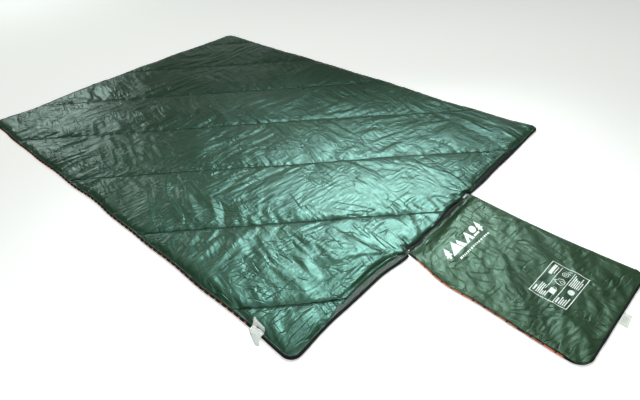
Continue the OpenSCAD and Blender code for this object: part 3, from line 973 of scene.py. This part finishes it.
def make_bindings():
    made = {}
    for side in (1, -1):
        path, places = half_outline(side, 0, 4)
        wobble = 0.35 * small_noise(31 + side, len(path), 2.2) + 0.3 * small_noise(33 + side, len(path), 6)
        name = "binding_" + side_name(side)
        printed_part = (path[:, 1] < 60 - HALF_W) & (path[:, 0] < 850)
        dots = np.where(printed_part, 1.0 + (path[:, 0] < -350), 0.0)
        at_pouch = path[:, 0] > HALF_L - 60
        dots = np.where(at_pouch & (path[:, 1] > 200) & (path[:, 1] < 420), 0.55, dots)
        low_at = 1 - 0.45 * by_mouth(path[:, 1]) * (path[:, 0] > 0)
        wide = 1 + at_pouch * set_back(path[:, 1])[0] / 6
        wobble = wobble * (1 - 0.8 * by_mouth(path[:, 1]) * at_pouch)
        wobble = np.clip(wobble, -0.8, 0.8)
        thing = band(name, path, places, BAND, EDGE_PRINT, wobble, lay, dots, low_at, wide)
        words = side_name(side)
        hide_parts("binding_long_edge_" + words, "binding_pouch_edge_" + words)
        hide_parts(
            "binding_foot_edge_" + words, "binding_pouch_edge_middle", "binding_foot_edge_middle"
        )
        fold_with_side(thing, side)
        made[side] = thing
    return made


def stitches(name, places, directions, length, width, material, lift, drape=lambda p: p):
    """Short rounded stitches at places (x, y, z), along directions in the plane."""
    places = np.asarray(places, float)
    d = np.asarray(directions, float)
    n = np.stack([-d[:, 1], d[:, 0]], -1)
    shape = []
    for end, rise, broad in ((-0.5, -0.5, 0.6), (-0.3, 0.5, 1.0), (0.3, 0.5, 1.0), (0.5, -0.5, 0.6)):
        for across, up in ((-0.5, 0.0), (-0.28, 0.8), (0.28, 0.8), (0.5, 0.0)):
            shape.append((end, across * broad, up * 0.5 + 0.25 + 0.35 * rise))
    shape = np.array(shape)
    points = np.empty((len(places), 16, 3))
    along = shape[:, 0] * length
    side = shape[:, 1] * width
    points[..., 0] = places[:, None, 0] + d[:, None, 0] * along + n[:, None, 0] * side
    points[..., 1] = places[:, None, 1] + d[:, None, 1] * along + n[:, None, 1] * side
    points[..., 2] = places[:, None, 2] + lift + shape[:, 2] * width
    tube = ring_faces(4, 4)
    caps = np.array([[0, 3, 2, 1], [12, 13, 14, 15]])
    one = np.concatenate([tube, caps])
    faces = (one[None] + 16 * np.arange(len(places))[:, None, None]).reshape(-1, 4)
    return make_mesh(name, drape(points), faces, material)


def make_quilting(height):
    """The stitches along the seams and along the binding, split at the middle of the blanket."""
    seams = []
    count = int((HALF_L + HALF_W) / SEAM_PITCH)
    for k in range(-count, count + 1):
        offset = SEAM_SHIFT + k * SEAM_PITCH
        x0 = max(-HALF_L, -HALF_W - offset) + 12
        x1 = min(HALF_L, HALF_W - offset) - 12
        x = np.arange(x0, x1, 6.0 / ROOT2)
        seams.append(np.stack([x, x + offset], -1))
    seams = np.concatenate(seams)
    made = {}
    for side in (1, -1):
        chosen = seams[(seams[:, 1] >= 0) if side > 0 else (seams[:, 1] < 0)]
        z = height(chosen[:, 0], chosen[:, 1])
        places = np.column_stack([chosen, z])
        slant = np.full((len(places), 2), 1 / ROOT2)
        words = side_name(side)
        seam = stitches("seam_stitches_" + words, places, slant, 4.4, 1.1, THREAD, 0.1, lay)
        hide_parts("quilting_" + words, "quilting_middle")
        path, _ = half_outline(side, 6.8, 4.8)
        path[:, 0] -= set_back(path[:, 1])[0] * smooth((path[:, 0] - HALF_L + 60) / 50)
        t = np.gradient(path, axis=0)
        t /= np.hypot(t[:, 0], t[:, 1])[:, None]
        places = np.column_stack([path, np.full(len(path), 7.5)])
        edge = stitches("edge_stitches_" + words, places, t, 4.5, 1.3, EDGE_THREAD, 0.3, lay)
        for thing in (seam, edge):
            fold_with_side(thing, side)
        made[side] = [seam, edge]
    return made


def make_edge_strip_painted_sheen():
    """The ribbed strip that shows between the binding and the top, on the right of the pouch's mouth: it stands for
    the top's gathered, stitched edge, and its grey is a painted reflection of that glossy green cloth.
    """
    y = np.arange(-645, -238, 4.0)
    x = HALF_L - 14.0 + 0.6 * np.sin(y / 31) - 2 * smooth((y + 262) / 24)
    line = np.column_stack([x, y, np.full_like(y, 8.6)])
    # painted reflection: the strip's grey stands in for the gloss on the gathered green top cloth here
    tape = ribbon("edge_strip_painted_sheen", line, (-1, 0, 0.06), 15, 0.6, GREY_TAPE_AND_PAINTED_SHEEN)
    spots = np.empty(3 * len(tape.data.vertices), np.float32)
    tape.data.vertices.foreach_get("co", spots)
    spots = lay(spots.reshape(-1, 3) / MM) * MM
    tape.data.vertices.foreach_set("co", spots.astype(np.float32).ravel())
    fold_with_side(tape, -1)
    return tape


# ---------------------------------------------------------------- the pouch


def side_line(x, side, inset=0.0):
    """Where the pouch's side runs, from the end of its mouth to its far corner."""
    near = np.where(np.asarray(side) > 0, MOUTH[1], MOUTH[0])
    far = FAR_Y + side * FAR_W / 2
    t = (x - POUCH_X0) / (POUCH_X1 - POUCH_X0)
    return near + (far - near) * t - side * inset


def leaned(x, c, inset):
    """Places in the pouch's outline at x and at a share c of its width, with rounded far corners."""
    low_y, high_y = side_line(x, -1, inset), side_line(x, 1, inset)
    y = low_y + (high_y - low_y) * c
    r = POUCH_R - inset
    a = POUCH_X1 - inset - x
    b = np.minimum(y - low_y, high_y - y)
    da, db = np.maximum(r - a, 0), np.maximum(r - b, 0)
    scale = np.maximum(da, db) / np.maximum(np.hypot(da, db), 1e-6)
    inside = (da > 0) & (db > 0)
    nx = np.where(inside, POUCH_X1 - inset - (r - da * scale), x)
    b = np.where(inside, r - db * scale, b)
    side = np.where(c > 0.5, 1, -1)
    return nx, np.where(inside, side_line(nx, side, inset) - side * b, y)


def pouch_lie(points):
    """The pouch's lie on the floor: it bows to the right, and its far edge is a little askew."""
    points = np.asarray(points, float)
    x, y, z = points[..., 0], points[..., 1], points[..., 2]
    t = np.clip((x - POUCH_X0) / (POUCH_X1 - POUCH_X0), 0, 1)
    share = (y - side_line(x, -1)) / (side_line(x, 1) - side_line(x, -1))
    dx = t**3 * (5 - 19 * (1 - share))
    dy = -11 * np.sin(np.pi * t) - 14 * hill(x, 1155, 80) * (1 - share) ** 2
    return np.stack([x + dx, y + dy, z], -1)


def bow(c):
    """0 at the ends of the mouth and 1 in its middle."""
    return np.sin(np.pi * np.clip(c, 0, 1)) ** 0.8


def mouth_shift(c):
    """How far the pouch's side of the mouth gapes away from the blanket's side."""
    return 3.0 * hill(c, 0.62, 0.24) * bow(c) - 1.5


def mouth_height(c):
    return 6.5 + 6 * np.sqrt(bow(c))


def valley_end(c):
    """How far from the mouth the valley behind its hem reaches."""
    return np.minimum(47 * smooth((c + 0.02) / 0.14), 47 - 75 * np.maximum(c - 0.32, 0))


def hem_profile(d, c):
    """Height of the front panel near the mouth: hem, stitched groove, ridge, long slope down and step up."""
    b = bow(c)
    panel = 4.0 + 5.5 * smooth(d / 60) - 3.0 * smooth((d - 230) / 320)
    panel = panel + 2.0 * hill(d, 95, 60) * b
    ridge = 7 + 11 * np.sqrt(b)
    end = valley_end(c)
    deep = smooth((end - 12) / 14)
    end = np.maximum(end, 23)
    floor_z = panel + (2.3 - panel) * deep
    down = np.clip((d - 16) / (end - 16), 0, 1)
    behind = floor_z + (panel - floor_z) * smooth((d - end) / 15)
    z = np.where(d < 16, ridge, np.where(d < end, ridge + (floor_z - ridge) * down, behind))
    hem = mouth_height(c)
    z = hem + (z - hem) * smooth((d - 7.5) / 3)
    return z - (1 + b) * hill(d, 7.4, 1.1)


def pouch_fans(x, y):
    """Small ridges that radiate from the ends of the mouth."""
    z = np.zeros_like(x)
    rng = np.random.default_rng(8)
    for place, low_turn, high_turn, longest in ((MOUTH[0] + 6, -4, 86, 34), (MOUTH[1] - 6, -70, 2, 90)):
        dx, dy = x - POUCH_X0 + 4, y - place
        r = np.hypot(dx, dy) + 1e-3
        angle = np.arctan2(dy, dx)
        for k in range(9):
            centre = math.radians(low_turn + (high_turn - low_turn) * (k + rng.uniform(0.2, 0.8)) / 9)
            reach = rng.uniform(0.4, 1) * longest
            width = math.radians(rng.uniform(2.2, 3.8)) + 1.2 / r
            fold = rng.uniform(2, 4.5) * np.exp(-(((angle - centre) / width) ** 2))
            z += fold * smooth(r / 12) * smooth(1.2 - r / reach)
    return z


def pouch_front_grid():
    """The front panel: a hem ridge along the mouth, a valley behind it, and soft wrinkles to the far end."""
    inset = PANEL_INSET
    d = [3.5, 4.8, 6.0, 7.2, 8.8, 10.5, 12.5, 15, 18, 21.5, 25.5, 30]
    d = np.array(d + list(np.linspace(35, POUCH_X1 - inset - POUCH_X0, 105)))
    c = np.linspace(0, 1, 77)
    dd, cc = np.meshgrid(d, c)
    x0 = POUCH_X0 + dd
    x, y = leaned(x0, cc, inset)
    base = hem_profile(dd, cc)
    edge = np.minimum(y - side_line(x, -1, inset), side_line(x, 1, inset) - y)
    edge = np.minimum(edge, POUCH_X1 - inset - x)
    s, t = (x + y) / ROOT2, (y - x) / ROOT2
    broad = smooth((dd - np.maximum(valley_end(cc), 23) - 4) / 45)
    crumple = 2.0 * facets((s + 0.2 * t) / 62, t / 150, 12) + 1.5 * facets(s / 31, (t + 0.3 * s) / 80, 13)
    crumple += 0.9 * facets((s - 0.3 * t) / 16, t / 42, 14)
    hem_gathers = 0.8 * hill(dd, 12, 12) * facets(y / 9, x / 60, 23)
    hem_gathers = hem_gathers + 0.8 * hill(dd, 16, 14) * facets(y / 21, x / 60, 24)
    puckers = 0.9 * facets(x / 14, y / 40, 15) + 0.6 * facets(x / 8, y / 24, 16)
    base = base + broad * smooth(edge / 30) * crumple + np.exp(-edge / 16) * smooth(dd / 40) * puckers
    base = base + pouch_fans(x, y) * 0.8 + hem_gathers
    base = 5.0 + (base - 5.0) * (1 - np.exp(-edge / 9))
    shift = mouth_shift(cc) * np.exp(-((dd / 60) ** 2))
    p = np.stack([x + shift, y, base], -1).astype(np.float32)
    free = (edge > 0.5) & (dd > 14)
    patch = smooth(0.5 + 0.4 * soft_noise(np.random.default_rng(17), x.shape, 22))
    along = broad * (0.002 + 0.012 * patch + 0.012 * np.exp(-edge / 25))
    across = broad * 0.003
    none = np.zeros_like(x)
    cloth = [a.astype(np.float32) for a in (p[..., 0], y, along, across, none)]
    settle(p, free, base.astype(np.float32), cloth, 40, 0.002, 0.03, 2.2, 22)
    crisp = 0.6 * facets((s + 0.2 * t) / 18, t / 30, 25) + 0.35 * facets(s / 9, (t - 0.2 * s) / 14, 26)
    z = np.maximum(p[..., 2] + crisp * smooth((dd - 20) / 20) * smooth(edge / 14), 2.2)
    p[..., 2] = z + (under(z, 13.2) - z) * smooth((dd - 30) / 12)
    return pouch_lie(p), d, c, np.stack([x, y], -1)


def on_panel(grid, j, i):
    """Points of the front panel's surface at fractional grid places."""
    ny, nx, _ = grid.shape
    i, j = np.clip(i, 0, ny - 1.001), np.clip(j, 0, nx - 1.001)
    a, b = i.astype(int), j.astype(int)
    f, g = (i - a)[:, None], (j - b)[:, None]
    low_side = grid[a, b] * (1 - g) + grid[a, b + 1] * g
    high_side = grid[a + 1, b] * (1 - g) + grid[a + 1, b + 1] * g
    return low_side * (1 - f) + high_side * f


def make_pouch():
    grid, d, c, flat = pouch_front_grid()
    front = make_mesh("pouch_front_panel", grid, grid_faces(*grid.shape[:2]), POUCH_NYLON, flat * MM)
    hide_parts("pouch_front")
    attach(front, "pouch")

    x0 = np.concatenate([np.arange(HALF_L - 2, POUCH_X0, 2.5), np.linspace(POUCH_X0, POUCH_X1 - 2.5, 60)])
    xx, cc = np.meshgrid(x0, np.linspace(0, 1, 42))
    x, y = leaned(xx, cc, 2.5)
    y = np.where(xx < POUCH_X0, MOUTH[0] + (MOUTH[1] - MOUTH[0]) * cc, y)
    z = 1.0 + 0.4 * soft_noise(np.random.default_rng(22), x.shape, 6)
    z = np.clip(z, 0.4, 2)
    faces = grid_faces(*x.shape)[:, ::-1]
    spots = pouch_lie(np.stack([x, y, z], -1))
    back = make_mesh("pouch_back_panel", spots, faces, UNDERSIDE, np.stack([x, y], -1) * MM)
    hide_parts("pouch_back", "pouch_root_strip")
    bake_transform(back)

    corners = [(POUCH_X0, side_line(POUCH_X0, -1)), (POUCH_X1, side_line(POUCH_X1, -1))]
    corners += [(POUCH_X1, side_line(POUCH_X1, 1)), (POUCH_X0, side_line(POUCH_X0, 1))]
    corners = np.array(corners)
    path = [corners[:1], rounded(corners[0], corners[1], corners[2], POUCH_R)]
    path += [rounded(corners[1], corners[2], corners[3], POUCH_R), corners[3:]]
    path, places = spaced(np.concatenate(path), 4)
    wobble = 0.35 * small_noise(41, len(path), 2.5) + 0.4 * small_noise(42, len(path), 9)
    profile = [(-6, 0.6), (-6, 5.0), (-4.5, 6.2), (-2.5, 6.5)]
    profile += [(-0.5, 5.6), (0.5, 3.8), (0.3, 1.6), (-1.2, 0.3)]
    x = path[:, 0]
    strong = smooth((x - 1030) / 20) * smooth((1265 - x) / 40)
    strong = strong + smooth((x - 1445) / 15) * smooth((1515 - x) / 15)
    dots = (path[:, 1] < -150) * smooth((x - 1030) / 20) * smooth((1515 - x) / 15) * (0.7 + 0.3 * strong)
    low_at = 1 - (0.45 * (path[:, 1] > 60) + 0.05 * (path[:, 1] < -200)) * (x < POUCH_X1 - 30)
    ones = np.ones(len(path))
    wobble = np.clip(wobble, -0.9, 0.9)
    seam = band("pouch_binding", path, places, profile, POUCH_EDGE, wobble, pouch_lie, dots, low_at, ones)
    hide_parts("pouch_seam_left", "pouch_seam_right", "pouch_seam_far")
    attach(seam, "pouch")
    return grid, d, c, front, back, seam


def rounded(before, at, after, r):
    """Points of the arc that rounds a corner of an outline."""
    a, b = np.asarray(before) - at, np.asarray(after) - at
    a, b = a / np.hypot(*a), b / np.hypot(*b)
    half = math.acos(float(a @ b)) / 2
    centre = at + (a + b) / np.hypot(*(a + b)) * r / math.sin(half)
    start = at + a * r / math.tan(half) - centre
    angle = math.atan2(start[1], start[0])
    return arc_points(centre, r, angle, angle + math.pi - 2 * half, 3)


def ribbon(name, centre, side, width, thick, material, cup=0.0):
    """A strip of tape along points in millimetres, with its width along `side`, and its edges cupped up."""
    centre, side = np.asarray(centre, float), np.asarray(side, float)
    side = np.broadcast_to(side, centre.shape)
    side = side / np.linalg.norm(side, axis=1)[:, None]
    tangent = np.gradient(centre, axis=0)
    tangent /= np.linalg.norm(tangent, axis=1)[:, None]
    up = np.cross(tangent, side)
    n = 9
    across = np.linspace(-0.5, 0.5, n)
    across = np.concatenate([across, across[::-1]])
    wide = across[None, :] * np.broadcast_to(width, len(centre))[:, None]
    level = np.concatenate([np.full(n, 0.5), np.full(n, -0.5)]) * np.where(np.abs(across) > 0.49, 0.3, 1.0)
    slim = np.ones(len(centre))
    slim[[0, -1]] = 0.02
    rise = level[None, :] * thick * slim[:, None] + cup * (2 * across[None, :]) ** 2
    points = centre[:, None] + side[:, None] * wide[..., None] + up[:, None] * rise[..., None]
    along = np.concatenate([[0], np.cumsum(np.linalg.norm(np.diff(centre, axis=0), axis=1))])
    uv = np.stack(np.broadcast_arrays(along[:, None] * MM, wide * MM), -1)
    k = np.arange(n - 1)
    cap = np.stack([k, k + 1, 2 * n - 2 - k, 2 * n - 1 - k], -1)
    far_cap = cap[:, ::-1] + 2 * n * (len(centre) - 1)
    faces = np.concatenate([ring_faces(len(centre), 2 * n), cap, far_cap])
    return make_mesh(name, points, faces, material, uv)


def curve(points, n):
    """A smooth line of n points through a few given ones."""
    points = np.asarray(points, float)
    t = np.linspace(0, len(points) - 1, n)
    ghost = np.concatenate([[2 * points[0] - points[1]], points, [2 * points[-1] - points[-2]]])
    i = np.minimum(t.astype(int), len(points) - 2)
    f = (t - i)[:, None]
    p0, p1, p2, p3 = (ghost[i + k] for k in range(4))
    return p1 + 0.5 * f * (p2 - p0 + f * (2 * p0 - 5 * p1 + 4 * p2 - p3 + f * (3 * (p1 - p2) + p3 - p0)))


# ---------------------------------------------------------------- the zip


def coil(name, path, body, node):
    """A zip's row of coils: a slim tube with a ridge for each turn, along points in millimetres."""
    path = np.asarray(path, float)
    along = np.concatenate([[0], np.cumsum(np.linalg.norm(np.diff(path, axis=0), axis=1))])
    places = np.arange(0, along[-1], 0.45)
    path = np.stack([np.interp(places, along, path[:, k]) for k in range(3)], -1)
    turn = np.linspace(0, 2 * np.pi, 9)[:-1]
    r = 1.15 + 0.2 * np.sin(places[:, None] * 2 * np.pi / 1.8 + 0.5 * np.sin(turn)[None, :])
    points = np.empty((len(places), 8, 3))
    points[..., 0] = path[:, None, 0] + r * np.cos(turn)
    points[..., 1] = path[:, None, 1]
    points[..., 2] = path[:, None, 2] + r * np.sin(turn)
    thing = make_mesh(name, points, ring_faces(len(places), 8), COIL)
    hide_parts(node)
    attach(thing, body)
    return thing


def metal_piece(node, name, body, bevel):
    """A small metal part with the CAD node's shape and eased edges."""
    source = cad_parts[node]
    thing = bpy.data.objects.new(name, source.data.copy())
    thing.matrix_world = source.matrix_world.copy()
    bpy.context.scene.collection.objects.link(thing)
    thing.data.materials.clear()
    thing.data.materials.append(METAL)
    rounding = thing.modifiers.new("edges", "BEVEL")
    rounding.width = bevel * MM
    rounding.segments = 2
    rounding.limit_method = "ANGLE"
    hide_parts(node)
    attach(thing, body)
    return thing


def make_zip():
    """Both halves of the zip, its slider, pull and stops, and the folded tabs at its ends."""
    z = (low("zip_tape_quilt", 2) + high("zip_tape_quilt", 2)) / 2
    y = np.linspace(ZIP_ENDS[0], ZIP_ENDS[1], 60)
    quilt_x = np.full_like(y, HALF_L + 1.0)
    line = np.column_stack([quilt_x + 1.2, y, np.full_like(y, z)])
    tape = ribbon("zip_tape_blanket", line, (-1, 0, 0), 6.5, 0.8, TAPE_BLACK)
    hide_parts("zip_tape_quilt")
    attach(tape, "quilt_middle")
    ends = ZIP_ENDS[0] + 4, ZIP_ENDS[1] - 4
    yy = np.linspace(*ends, 80)
    x = (low("zip_coil_quilt", 0) + high("zip_coil_quilt", 0)) / 2
    line = np.column_stack([np.full_like(yy, x), yy, np.full_like(yy, z)])
    coil("zip_coil_blanket", line, "quilt_middle", "zip_coil_quilt")
    share = (y - MOUTH[0]) / (MOUTH[1] - MOUTH[0])
    x = POUCH_X0 + 3.4 + mouth_shift(share)
    line = np.column_stack([x, y, mouth_height(share) - 0.6])
    tape = ribbon("zip_tape_mouth", line, (-1, 0, 0.15), 5.5, 0.8, TAPE_BLACK)
    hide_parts("zip_tape_pouch")
    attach(tape, "pouch")
    share = (yy - MOUTH[0]) / (MOUTH[1] - MOUTH[0])
    line = np.column_stack([POUCH_X0 + 0.9 + mouth_shift(share), yy, mouth_height(share) - 0.3])
    coil("zip_coil_mouth", line, "pouch", "zip_coil_pouch")
    metal_piece("zip_slider", "slider_body", "slider", 0.35)
    metal_piece("zip_pull", "slider_pull", "pull", 0.3)
    metal_piece("zip_stop_left", "stop_left", "quilt_middle", 0.3)
    metal_piece("zip_stop_right", "stop_right", "quilt_middle", 0.3)
    tabs = (("zip_end_tab_right", MOUTH[0] - 3, 22.0), ("zip_end_tab_left", MOUTH[1] + 1, 13.0))
    for node, place, wide in tabs:
        line = [(HALF_L - 19, place + 2, 14.5), (HALF_L - 12, place + 1, 13), (HALF_L - 5, place, 11.2)]
        line += [(HALF_L - 1, place, 8.6), (HALF_L + 2, place, 5.2)]
        line += [(HALF_L + 6, place, 3.6), (HALF_L + 11, place, 3)]
        tab = ribbon(node.replace("zip_", ""), curve(line, 24), (0, 1, 0), wide, 2.0, GREY_TAPE_AND_PAINTED_SHEEN, 0.4)
        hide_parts(node)
        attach(tab, "quilt_middle")


# ---------------------------------------------------------------- the print on the pouch


def strip(points, width, closed=False):
    """Quads of a line of even width."""
    points = np.asarray(points, float)
    t = np.gradient(points, axis=0)
    if closed:
        t = np.roll(points, -1, 0) - np.roll(points, 1, 0)
    t /= np.hypot(t[:, 0], t[:, 1])[:, None]
    n = np.stack([-t[:, 1], t[:, 0]], -1) * width / 2
    a, b = points + n, points - n
    last = len(points) if closed else len(points) - 1
    return [[a[k], a[(k + 1) % len(a)], b[(k + 1) % len(a)], b[k]] for k in range(last)]


def ring(x, y, r, width):
    return strip(arc_points((x, y), r, 0, 2 * math.pi * 23 / 24, 2 * math.pi * r / 24)[:24], width, True)


def disc(x, y, r):
    return [arc_points((x, y), r, 0, 2 * math.pi * 23 / 24, 2 * math.pi * r / 24)]


def box_outline(x, y, w, h, width):
    return [[(x, y), (x + w, y), (x + w, y + width), (x, y + width)],
            [(x, y + h - width), (x + w, y + h - width), (x + w, y + h), (x, y + h)],
            [(x, y + width), (x + width, y + width), (x + width, y + h - width), (x, y + h - width)],
            [(x + w - width, y + width), (x + w, y + width), (x + w, y + h - width), (x + w - width, y + h - width)]]


def bar(x, y, w, h):
    return [[(x, y), (x + w, y), (x + w, y + h), (x, y + h)]]


def pine(x):
    """A pine on its trunk, 26 mm wide and 42 mm high."""
    lower, upper = [(x, 8), (x + 26, 8), (x + 13, 31)], [(x + 2, 19), (x + 24, 19), (x + 13, 42)]
    return bar(x + 8.5, 0, 9, 8) + [lower, upper]


def picture_band():
    """A row of outdoor pictures: pines, two peaks, a tent and a low sun, with a line of dashes below."""
    shapes = pine(0) + pine(167)
    shapes += [[(25, 0), (76, 0), (50, 42)], [(65, 23), (78, 0), (97, 0), (72, 35)]]
    shapes += [[(97, 0), (110, 0), (116.5, 14), (123, 0), (136, 0), (116.5, 39)]]
    shapes += disc(151, 25, 13.5) + bar(138, 1, 27, 7)
    rng = np.random.default_rng(51)
    x = 38.0
    while x < 184:
        w = rng.uniform(3, 9)
        shapes += bar(x, -21, w, 6)
        x += w + 3.4
    return shapes


def info_panel():
    """A framed panel with columns of bars and small pictures."""
    shapes = box_outline(0, 0, 143, 108, 2.3) + bar(34, 75, 102, 1.8) + bar(3, 38.5, 133, 1.8)
    rng = np.random.default_rng(52)

    def lines(x, y, width, rows, pitch, height):
        made = []
        for k in range(rows):
            made += bar(x, y - k * pitch, width * rng.uniform(0.65, 1.0), height)
        return made

    shapes += bar(9, 97, 24, 5) + lines(9, 90, 50, 3, 5.2, 2.7) + lines(9, 74.4, 21, 3, 5.2, 2.7)
    shapes += bar(92, 88, 42, 9.5) + bar(98, 82.5, 32, 2.4)
    shapes += bar(30, 49, 20, 17) + strip([(50, 63), (56, 61), (56, 54), (50, 52)], 1.8)
    flame = [(79, 45), (72, 52), (73, 61), (80, 73), (86, 63), (91, 66), (95, 54), (89, 45), (79, 45)]
    shapes += strip(flame, 2.1)
    shapes += strip([(81, 48), (80, 54), (85, 60), (88, 53), (87, 48)], 1.8)
    shapes += ring(116, 58, 8, 2.0) + ring(116, 58, 3.5, 1.6) + strip([(125, 47), (130, 63), (135, 47)], 2.0)
    shapes += bar(7, 31, 22, 4.4) + lines(7, 24.5, 40, 4, 5.3, 2.8)
    return shapes + disc(69, 18, 9) + lines(86, 32, 48, 6, 5.0, 2.7)


def print_on_pouch(name, shapes, corner, along, up, grid, d, c):
    """Lays a flat picture on the front panel, cut along its grid so that it follows each wrinkle. The corner
    and the picture's two directions are in millimetres on the panel."""
    cell = np.arange(len(d))
    along, up = np.array(along), np.array(up)
    work = bmesh.new()
    for shape in shapes:
        made = []
        for px, py in shape:
            x, y = np.asarray(corner) + along * px + up * py
            lower, upper = side_line(x, -1, PANEL_INSET), side_line(x, 1, PANEL_INSET)
            share = (y - lower) / (upper - lower)
            made.append(work.verts.new((np.interp(x - POUCH_X0, d, cell), share * (len(c) - 1), 0)))
        work.faces.new(made)
    bmesh.ops.triangulate(work, faces=work.faces[:])
    spots = np.array([v.co[:] for v in work.verts])
    for axis in (0, 1):
        for k in range(int(spots[:, axis].min()) + 1, int(spots[:, axis].max()) + 1):
            co, no = [0, 0, 0], [0, 0, 0]
            co[axis], no[axis] = k, 1
            everything = work.verts[:] + work.edges[:] + work.faces[:]
            bmesh.ops.bisect_plane(work, geom=everything, plane_co=co, plane_no=no)
    bmesh.ops.triangulate(work, faces=work.faces[:])
    work.verts.ensure_lookup_table()
    spots = np.array([v.co[:] for v in work.verts])
    points = on_panel(grid, spots[:, 0], spots[:, 1]) + (0, 0, PRINT_LIFT)
    faces = np.array([[v.index for v in f.verts] for f in work.faces])
    work.free()
    a, b, e = (points[faces[:, k]] for k in range(3))
    down = np.cross(b - a, e - a)[:, 2] < 0
    faces[down] = faces[down][:, ::-1]
    thing = make_mesh(name, points, faces, PRINT)
    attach(thing, "pouch")
    return thing


# ---------------------------------------------------------------- the labels


def leaf(name, line, widths, turns, cup):
    """A cloth label along a line, with its width and the direction of its width given at even steps."""
    line = curve(line, 24)
    places = np.linspace(0, 1, len(line))
    steps = np.linspace(0, 1, len(widths))
    side = np.stack([np.interp(places, steps, [turn[k] for turn in turns]) for k in range(3)], -1)
    return ribbon(name, line, side, np.interp(places, steps, widths), 0.5, LABEL, cup)


def make_labels():
    x = (low("label_top_leaf", 0) + high("label_top_leaf", 0)) / 2 + 6
    y = -HALF_W
    turns = [(1, 0.1, 0), (1, 0.05, -0.05), (1, -0.08, -0.16)]
    line = [(x - 1, y + 9, 9.8), (x - 3, y + 12, 12.5), (x - 6, y + 15, 15.5), (x - 10, y + 20, 18)]
    top = leaf("label_upper_leaf", line, (41, 42, 44), turns, -1.2)
    line = [(x - 3, y + 8.5, 9.4), (x - 5, y + 12, 10.2), (x - 8, y + 17, 11.5), (x - 13, y + 24, 13)]
    second = leaf("label_second_leaf", line, (42, 43, 44), turns, -0.6)
    line = [(x, y + 1.5, 9.2), (x, y + 6, 9.9), (x - 1, y + 12.5, 10.6)]
    root = leaf("label_root", line, (43, 43, 43), [(1, 0.1, 0)] * 3, 0.0)
    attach(root, "quilt_right")
    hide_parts("label_top_leaf")
    for thing in (top, second):
        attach(thing, "label_top")
    line = [(x, y + 3, 9.3), (x + 1, y - 3, 9.8), (x + 5, y - 10, 9), (x + 14, y - 18, 6.5)]
    line += [(x + 25, y - 25, 3.6), (x + 30, y - 28, 2.4)]
    turns = [(1, 0.15, 0), (0.97, 0.25, 0), (0.97, 0.25, 0.05)]
    turns += [(0.9, 0.1, 0.15), (0.9, 0.1, 0.25), (0.9, 0.1, 0.3)]
    hanging = leaf("label_lower_leaf", line, (43, 44, 37, 26, 18, 14), turns, -1.2)
    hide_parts("label_hanging_leaf")
    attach(hanging, "label_hanging")

    y = (low("pouch_tag", 1) + high("pouch_tag", 1)) / 2
    z = (low("pouch_tag", 2) + high("pouch_tag", 2)) / 2
    line = [(POUCH_X1 - 10, y, z), (POUCH_X1 - 3, y, z + 0.8)]
    line += [(POUCH_X1 + 5, y - 1, z + 0.2), (POUCH_X1 + 18, y - 2, 1.8)]
    tag = ribbon("pouch_side_tag", curve(line, 24), (-0.05, 1, 0.01), 43, 0.6, TAG, 0.3)
    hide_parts("pouch_tag")
    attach(tag, "tag")


make_camera()
make_floor()
make_lights()

top = quilt_top()
tops = make_quilt_top(top)
unders = make_underside()
bindings = make_bindings()
height_of_top = sampler(top, -TOP_X, -TOP_Y, GRID)
threads = make_quilting(height_of_top)
threads[-1].append(make_edge_strip_painted_sheen())
for side in (1, -1):
    going = [bindings[side], *threads[side]]


grid, d, c, pouch_front, pouch_back, pouch_binding = make_pouch()
make_zip()
pictures = print_on_pouch(
    "picture_band", picture_band(), (1126.5, -178), (0.054, 0.9985), (-1.0, 0.38), grid, d, c
)
panel = print_on_pouch("info_panel", info_panel(), (1452, -151), (0.055, 0.998), (-0.989, 0.147), grid, d, c)
make_labels()
